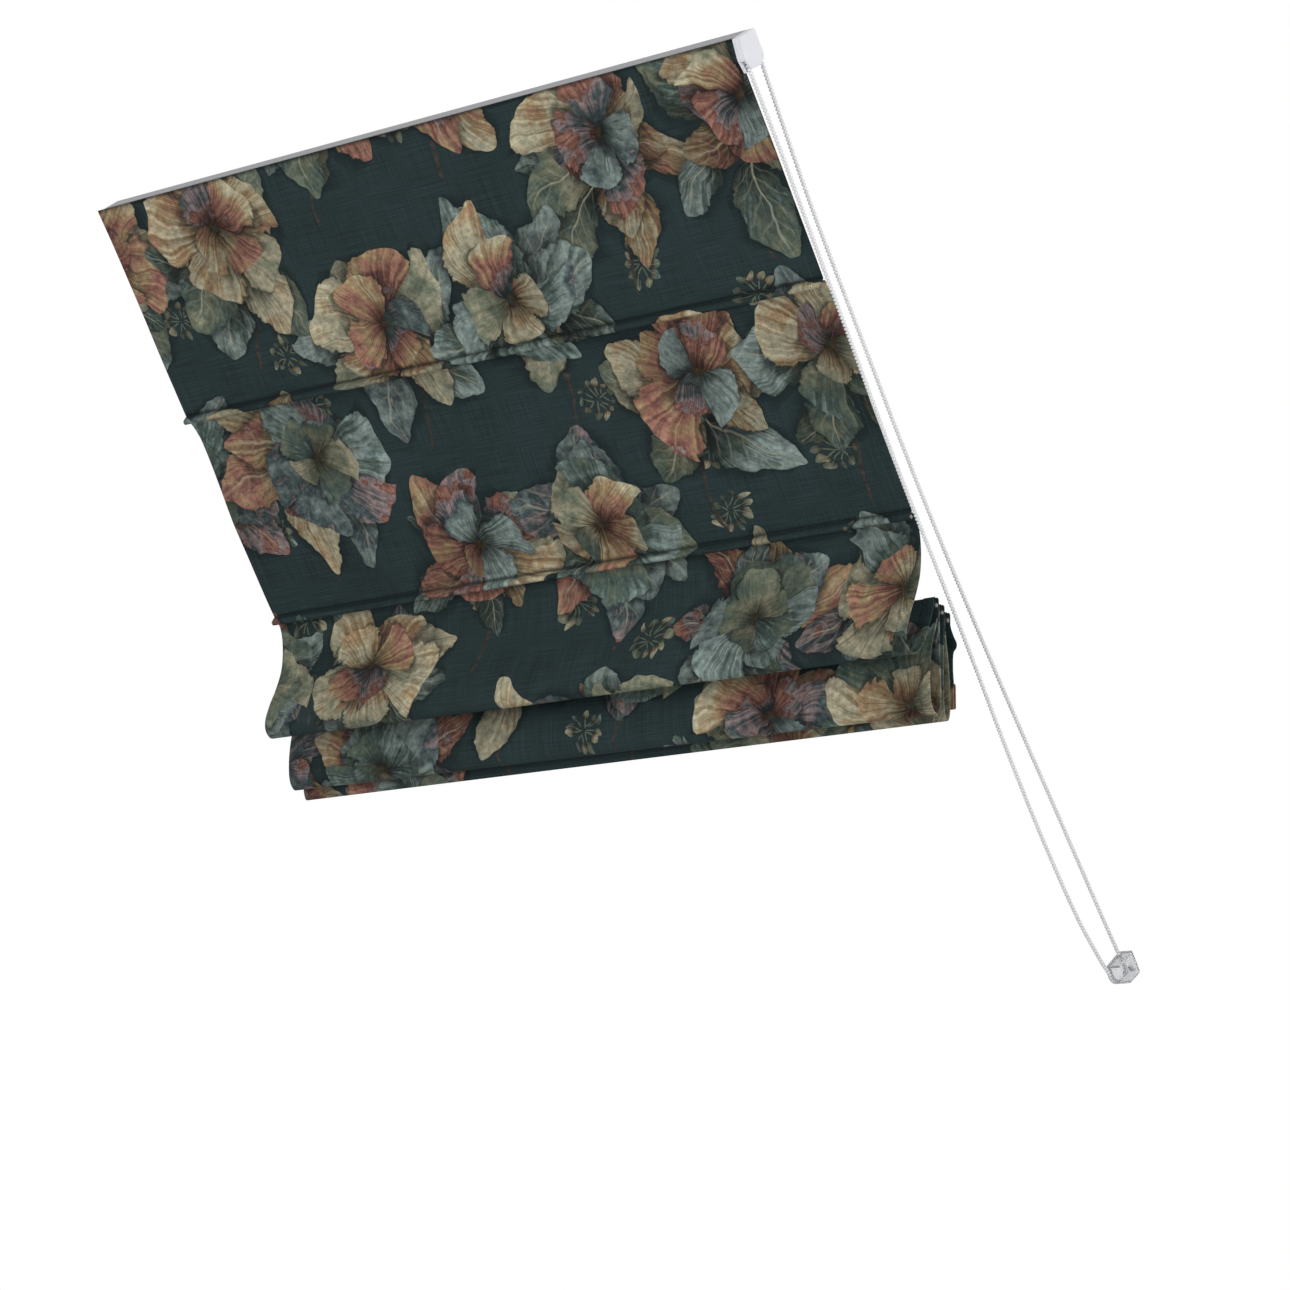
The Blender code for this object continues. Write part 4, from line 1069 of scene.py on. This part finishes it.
def bar_hem():
    """The pocket that the cloth makes round the bottom bar."""
    down = HEM_TOP + CLOTH + 0.3 * MM + BAR_DROP / 2
    reach = BAR / 2 + 0.3 * MM + CLOTH / 2
    bottom = down + BAR_DROP / 2 + 0.3 * MM
    pocket = [
        (BAR_BACK - reach, HEM_TOP),
        (BAR_BACK - reach, down),
        (BAR_BACK - reach, bottom),
        (BAR_BACK - 0.6 * reach, bottom + 0.7 * reach),
        (BAR_BACK + 0.6 * reach, bottom + 0.7 * reach),
        (BAR_BACK + reach, bottom),
        (BAR_BACK + reach, down),
        (BAR_BACK + reach, HEM_TOP + CLOTH),
        (BAR_BACK + 0.3 * reach, HEM_TOP - CLOTH),
    ]
    return [Vector(hanging(*point)) for point in pocket]


def tube(name, points, radius, material, sides=10, cyclic=False):
    """A mesh tube along world places."""
    curve = bpy.data.curves.new(name, "CURVE")
    curve.dimensions = "3D"
    curve.bevel_depth = radius
    curve.bevel_resolution = max(1, sides // 4)
    curve.use_fill_caps = not cyclic
    spline = curve.splines.new("POLY")
    spline.points.add(len(points) - 1)
    for point, place in zip(spline.points, points):
        point.co = (*place, 1)
    spline.use_cyclic_u = cyclic
    source = bpy.data.objects.new(name, curve)
    bpy.context.scene.collection.objects.link(source)
    graph = bpy.context.evaluated_depsgraph_get()
    mesh = bpy.data.meshes.new_from_object(source.evaluated_get(graph))
    bpy.data.objects.remove(source)
    obj = bpy.data.objects.new(name, mesh)
    bpy.context.scene.collection.objects.link(obj)
    mesh.materials.clear()
    mesh.materials.append(material)
    mesh.shade_smooth()
    return obj


def ring_centre(index):
    seat = RING_SEAT if index < len(FLAT_STITCHES) else APEX_RING_SEAT
    neck = STITCHES[index].neck
    return Vector((neck.x + seat + RING_RADIUS, neck.y))


def make_cords(material):
    """The lift cords, in stretches from the spool to the first ring and from ring to ring."""
    for side, mid in (("left", CORD_INSET), ("right", CLOTH_WIDTH - CORD_INSET)):
        start = Vector(SPOOL_START)
        for index in range(len(STITCHES)):
            end = ring_centre(index) + Vector((CORD_OFFSET, 0))
            points = [spot(mid, *start.lerp(end, i / CORD_STEPS)) for i in range(CORD_STEPS + 1)]
            name = f"lift_cord_{side}_{index + 1}"
            cord = tube(f"braid_{side}_{index + 1}", points, CORD / 2, material)
            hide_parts(name)
            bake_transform(cord)
            start = end


def chain_out(b):
    share = (b - SHAFT_DROP) / (TENSIONER_DROP - SHAFT_DROP)
    return WHEEL_MID + (GUIDE_MID - WHEEL_MID) * min(max(share, 0), 1)


def arc(centre, radius, start, end, steps):
    line = []
    for index in range(steps + 1):
        angle = math.radians(start + (end - start) * index / steps)
        line.append((centre[0] + radius * math.cos(angle), centre[1] + radius * math.sin(angle)))
    return line


def chain_route():
    """The chain's closed line: over the wheel, down the front, round the guide and up the back."""
    wheel = arc((SHAFT_BACK, SHAFT_DROP), WHEEL_PITCH, 0, -180, 24)
    guide = arc((TENSIONER_BACK, TENSIONER_DROP), GUIDE_PITCH, 164, 6, 24)
    front = [tuple(p) for p in through(scaled(FRONT_STRAND), 6)]
    rear = [tuple(p) for p in reversed(through(scaled(REAR_STRAND), 6))]
    return [spot(chain_out(b), n, b) for n, b in wheel + front + guide + rear]


def spaced(route, pitch):
    """Places a pitch apart round a closed line, with their directions."""
    closed = route + [route[0]]
    lengths = [0.0]
    for first, second in zip(closed, closed[1:]):
        lengths.append(lengths[-1] + (second - first).length)
    count = round(lengths[-1] / pitch)
    found = []
    segment = 0
    for index in range(count):
        target = lengths[-1] * index / count
        while lengths[segment + 1] < target:
            segment += 1
        share = (target - lengths[segment]) / (lengths[segment + 1] - lengths[segment])
        direction = (closed[segment + 1] - closed[segment]).normalized()
        found.append((closed[segment].lerp(closed[segment + 1], share), direction))
    return found


def bead_form():
    """A short barrel along z: its corners, ring by ring between its two end points, and its faces."""
    corners = [Vector((0, 0, BEAD_HALF_LENGTH))]
    for ring in range(1, BEAD_RINGS):
        out = math.sin(math.pi * ring / BEAD_RINGS)
        up = math.cos(math.pi * ring / BEAD_RINGS)
        swell = (out**3 + abs(up) ** 3) ** (-1 / 3)
        reach = BEAD_RADIUS * out * swell
        for side in range(BEAD_SIDES):
            angle = 2 * math.pi * side / BEAD_SIDES
            x, y = reach * math.cos(angle), reach * math.sin(angle)
            corners.append(Vector((x, y, BEAD_HALF_LENGTH * up * swell)))
    corners.append(-corners[0])
    end = len(corners) - 1
    faces = []
    for side in range(BEAD_SIDES):
        beside = (side + 1) % BEAD_SIDES
        faces.append((0, 1 + side, 1 + beside))
        for top in range(1, end - BEAD_SIDES, BEAD_SIDES):
            low = top + BEAD_SIDES
            faces.append((top + side, low + side, low + beside, top + beside))
        faces.append((end, end - BEAD_SIDES + beside, end - BEAD_SIDES + side))
    return corners, faces


def make_chain(material, cord):
    """The bead chain: short barrel beads moulded on a thin cord."""
    route = chain_route()
    corners, sides = bead_form()
    vertices = []
    faces = []
    for place, direction in spaced(route, BEAD_PITCH):
        turn = direction.to_track_quat("Z", "Y")
        faces += [[len(vertices) + index for index in side] for side in sides]
        vertices += [place + turn @ corner for corner in corners]
    mesh = bpy.data.meshes.new("chain_beads")
    mesh.from_pydata(vertices, [], faces)
    mesh.shade_smooth()
    beads = bpy.data.objects.new("chain_beads", mesh)
    bpy.context.scene.collection.objects.link(beads)
    mesh.materials.append(material)
    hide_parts("bead_chain")
    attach(beads, "headrail")
    thread = tube("chain_cord", route, BEAD_CORD, cord, 8, True)
    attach(thread, "headrail")


def dress_nodes():
    """The carried-over CAD nodes' finishes."""
    finishes = {
        "rail_paint": painted_rail(),
        "black_strip": pile_strip(),
        "white_plastic": moulded("white_plastic", (0.72, 0.73, 0.77)),
        "steel": brushed_metal("steel", (0.62, 0.62, 0.63), 0.25),
        "chrome_screw": brushed_metal("chrome_screw", (0.76, 0.76, 0.77), 0.08),
        "clear_plastic": clear_plastic(),
        "fibreglass": drawn_rod(),
    }
    for part in frame["record"]["subparts"]:
        finish = finishes.get(part["material_slot"])
        if finish:
            obj = frame["nodes"][part["node"]]
            obj.data.materials.clear()
            obj.data.materials.append(finish)


def make_stage():
    """Pale floor below the blind, plain soft light and a white surround."""
    mesh = bpy.data.meshes.new("floor")
    level = cad_box[0][2] - FLOOR_DROP
    signs = ((-1, -1), (1, -1), (1, 1), (-1, 1))
    corners = [(x * FLOOR_HALF, y * FLOOR_HALF, level) for x, y in signs]
    mesh.from_pydata(corners, [], [(0, 1, 2, 3)])
    floor = bpy.data.objects.new("floor", mesh)
    bpy.context.scene.collection.objects.link(floor)
    made, tree, shader = new_material("floor")
    shader.inputs["Base Color"].default_value = (0.86, 0.86, 0.86, 1)
    shader.inputs["Roughness"].default_value = 0.7
    seen = Field(tree, tree.nodes.new("ShaderNodeLightPath").outputs["Is Camera Ray"])
    shader.inputs["Emission Color"].default_value = (1, 1, 1, 1)
    plug(tree, shader.inputs["Emission Strength"], seen * FLOOR_GLOW)
    floor.data.materials.append(made)

    world = bpy.data.worlds.new("surround")
    world.use_nodes = True
    tree = world.node_tree
    background = tree.nodes["Background"]
    background.inputs["Color"].default_value = (1.0, 1.0, 1.0, 1)
    path = tree.nodes.new("ShaderNodeLightPath")
    seen = Field(tree, path.outputs["Is Camera Ray"])
    for kind in ("Is Glossy Ray", "Is Transmission Ray"):
        seen = seen.most(Field(tree, path.outputs[kind]))
    strength = tree.nodes.new("ShaderNodeMapRange")
    strength.inputs["To Min"].default_value = WORLD_LIGHT
    strength.inputs["To Max"].default_value = 1.0
    plug(tree, strength.inputs["Value"], seen)
    tree.links.new(strength.outputs[0], background.inputs["Strength"])
    bpy.context.scene.world = world

    for name, place, aim, size, power in LAMPS:
        data = bpy.data.lights.new(name, "AREA")
        data.shape = "DISK"
        data.size = size
        data.energy = power
        lamp = bpy.data.objects.new(name, data)
        lamp.location = place
        lamp.rotation_euler = (Vector(aim) - Vector(place)).to_track_quat("-Z", "Y").to_euler()
        bpy.context.scene.collection.objects.link(lamp)


def make_camera():
    data = bpy.data.cameras.new("camera")
    data.lens = LENS
    data.sensor_width = 36
    data.clip_end = 100
    camera = bpy.data.objects.new("camera", data)
    forward = CAMERA_FORWARD.normalized()
    right = forward.cross(CAMERA_UP).normalized()
    up = right.cross(forward)
    turn = Matrix((right, up, -forward)).transposed().to_4x4()
    camera.matrix_world = Matrix.Translation(spot(0, 0, 0) + CAMERA_OFFSET) @ turn
    bpy.context.scene.collection.objects.link(camera)
    bpy.context.scene.camera = camera


make_camera()
make_stage()
dress_nodes()
make_cloth(cloth_material())
cord_braid = braid()
make_cords(cord_braid)
make_chain(bead_plastic(), cord_braid)
bpy.context.scene.view_settings.view_transform = "Standard"
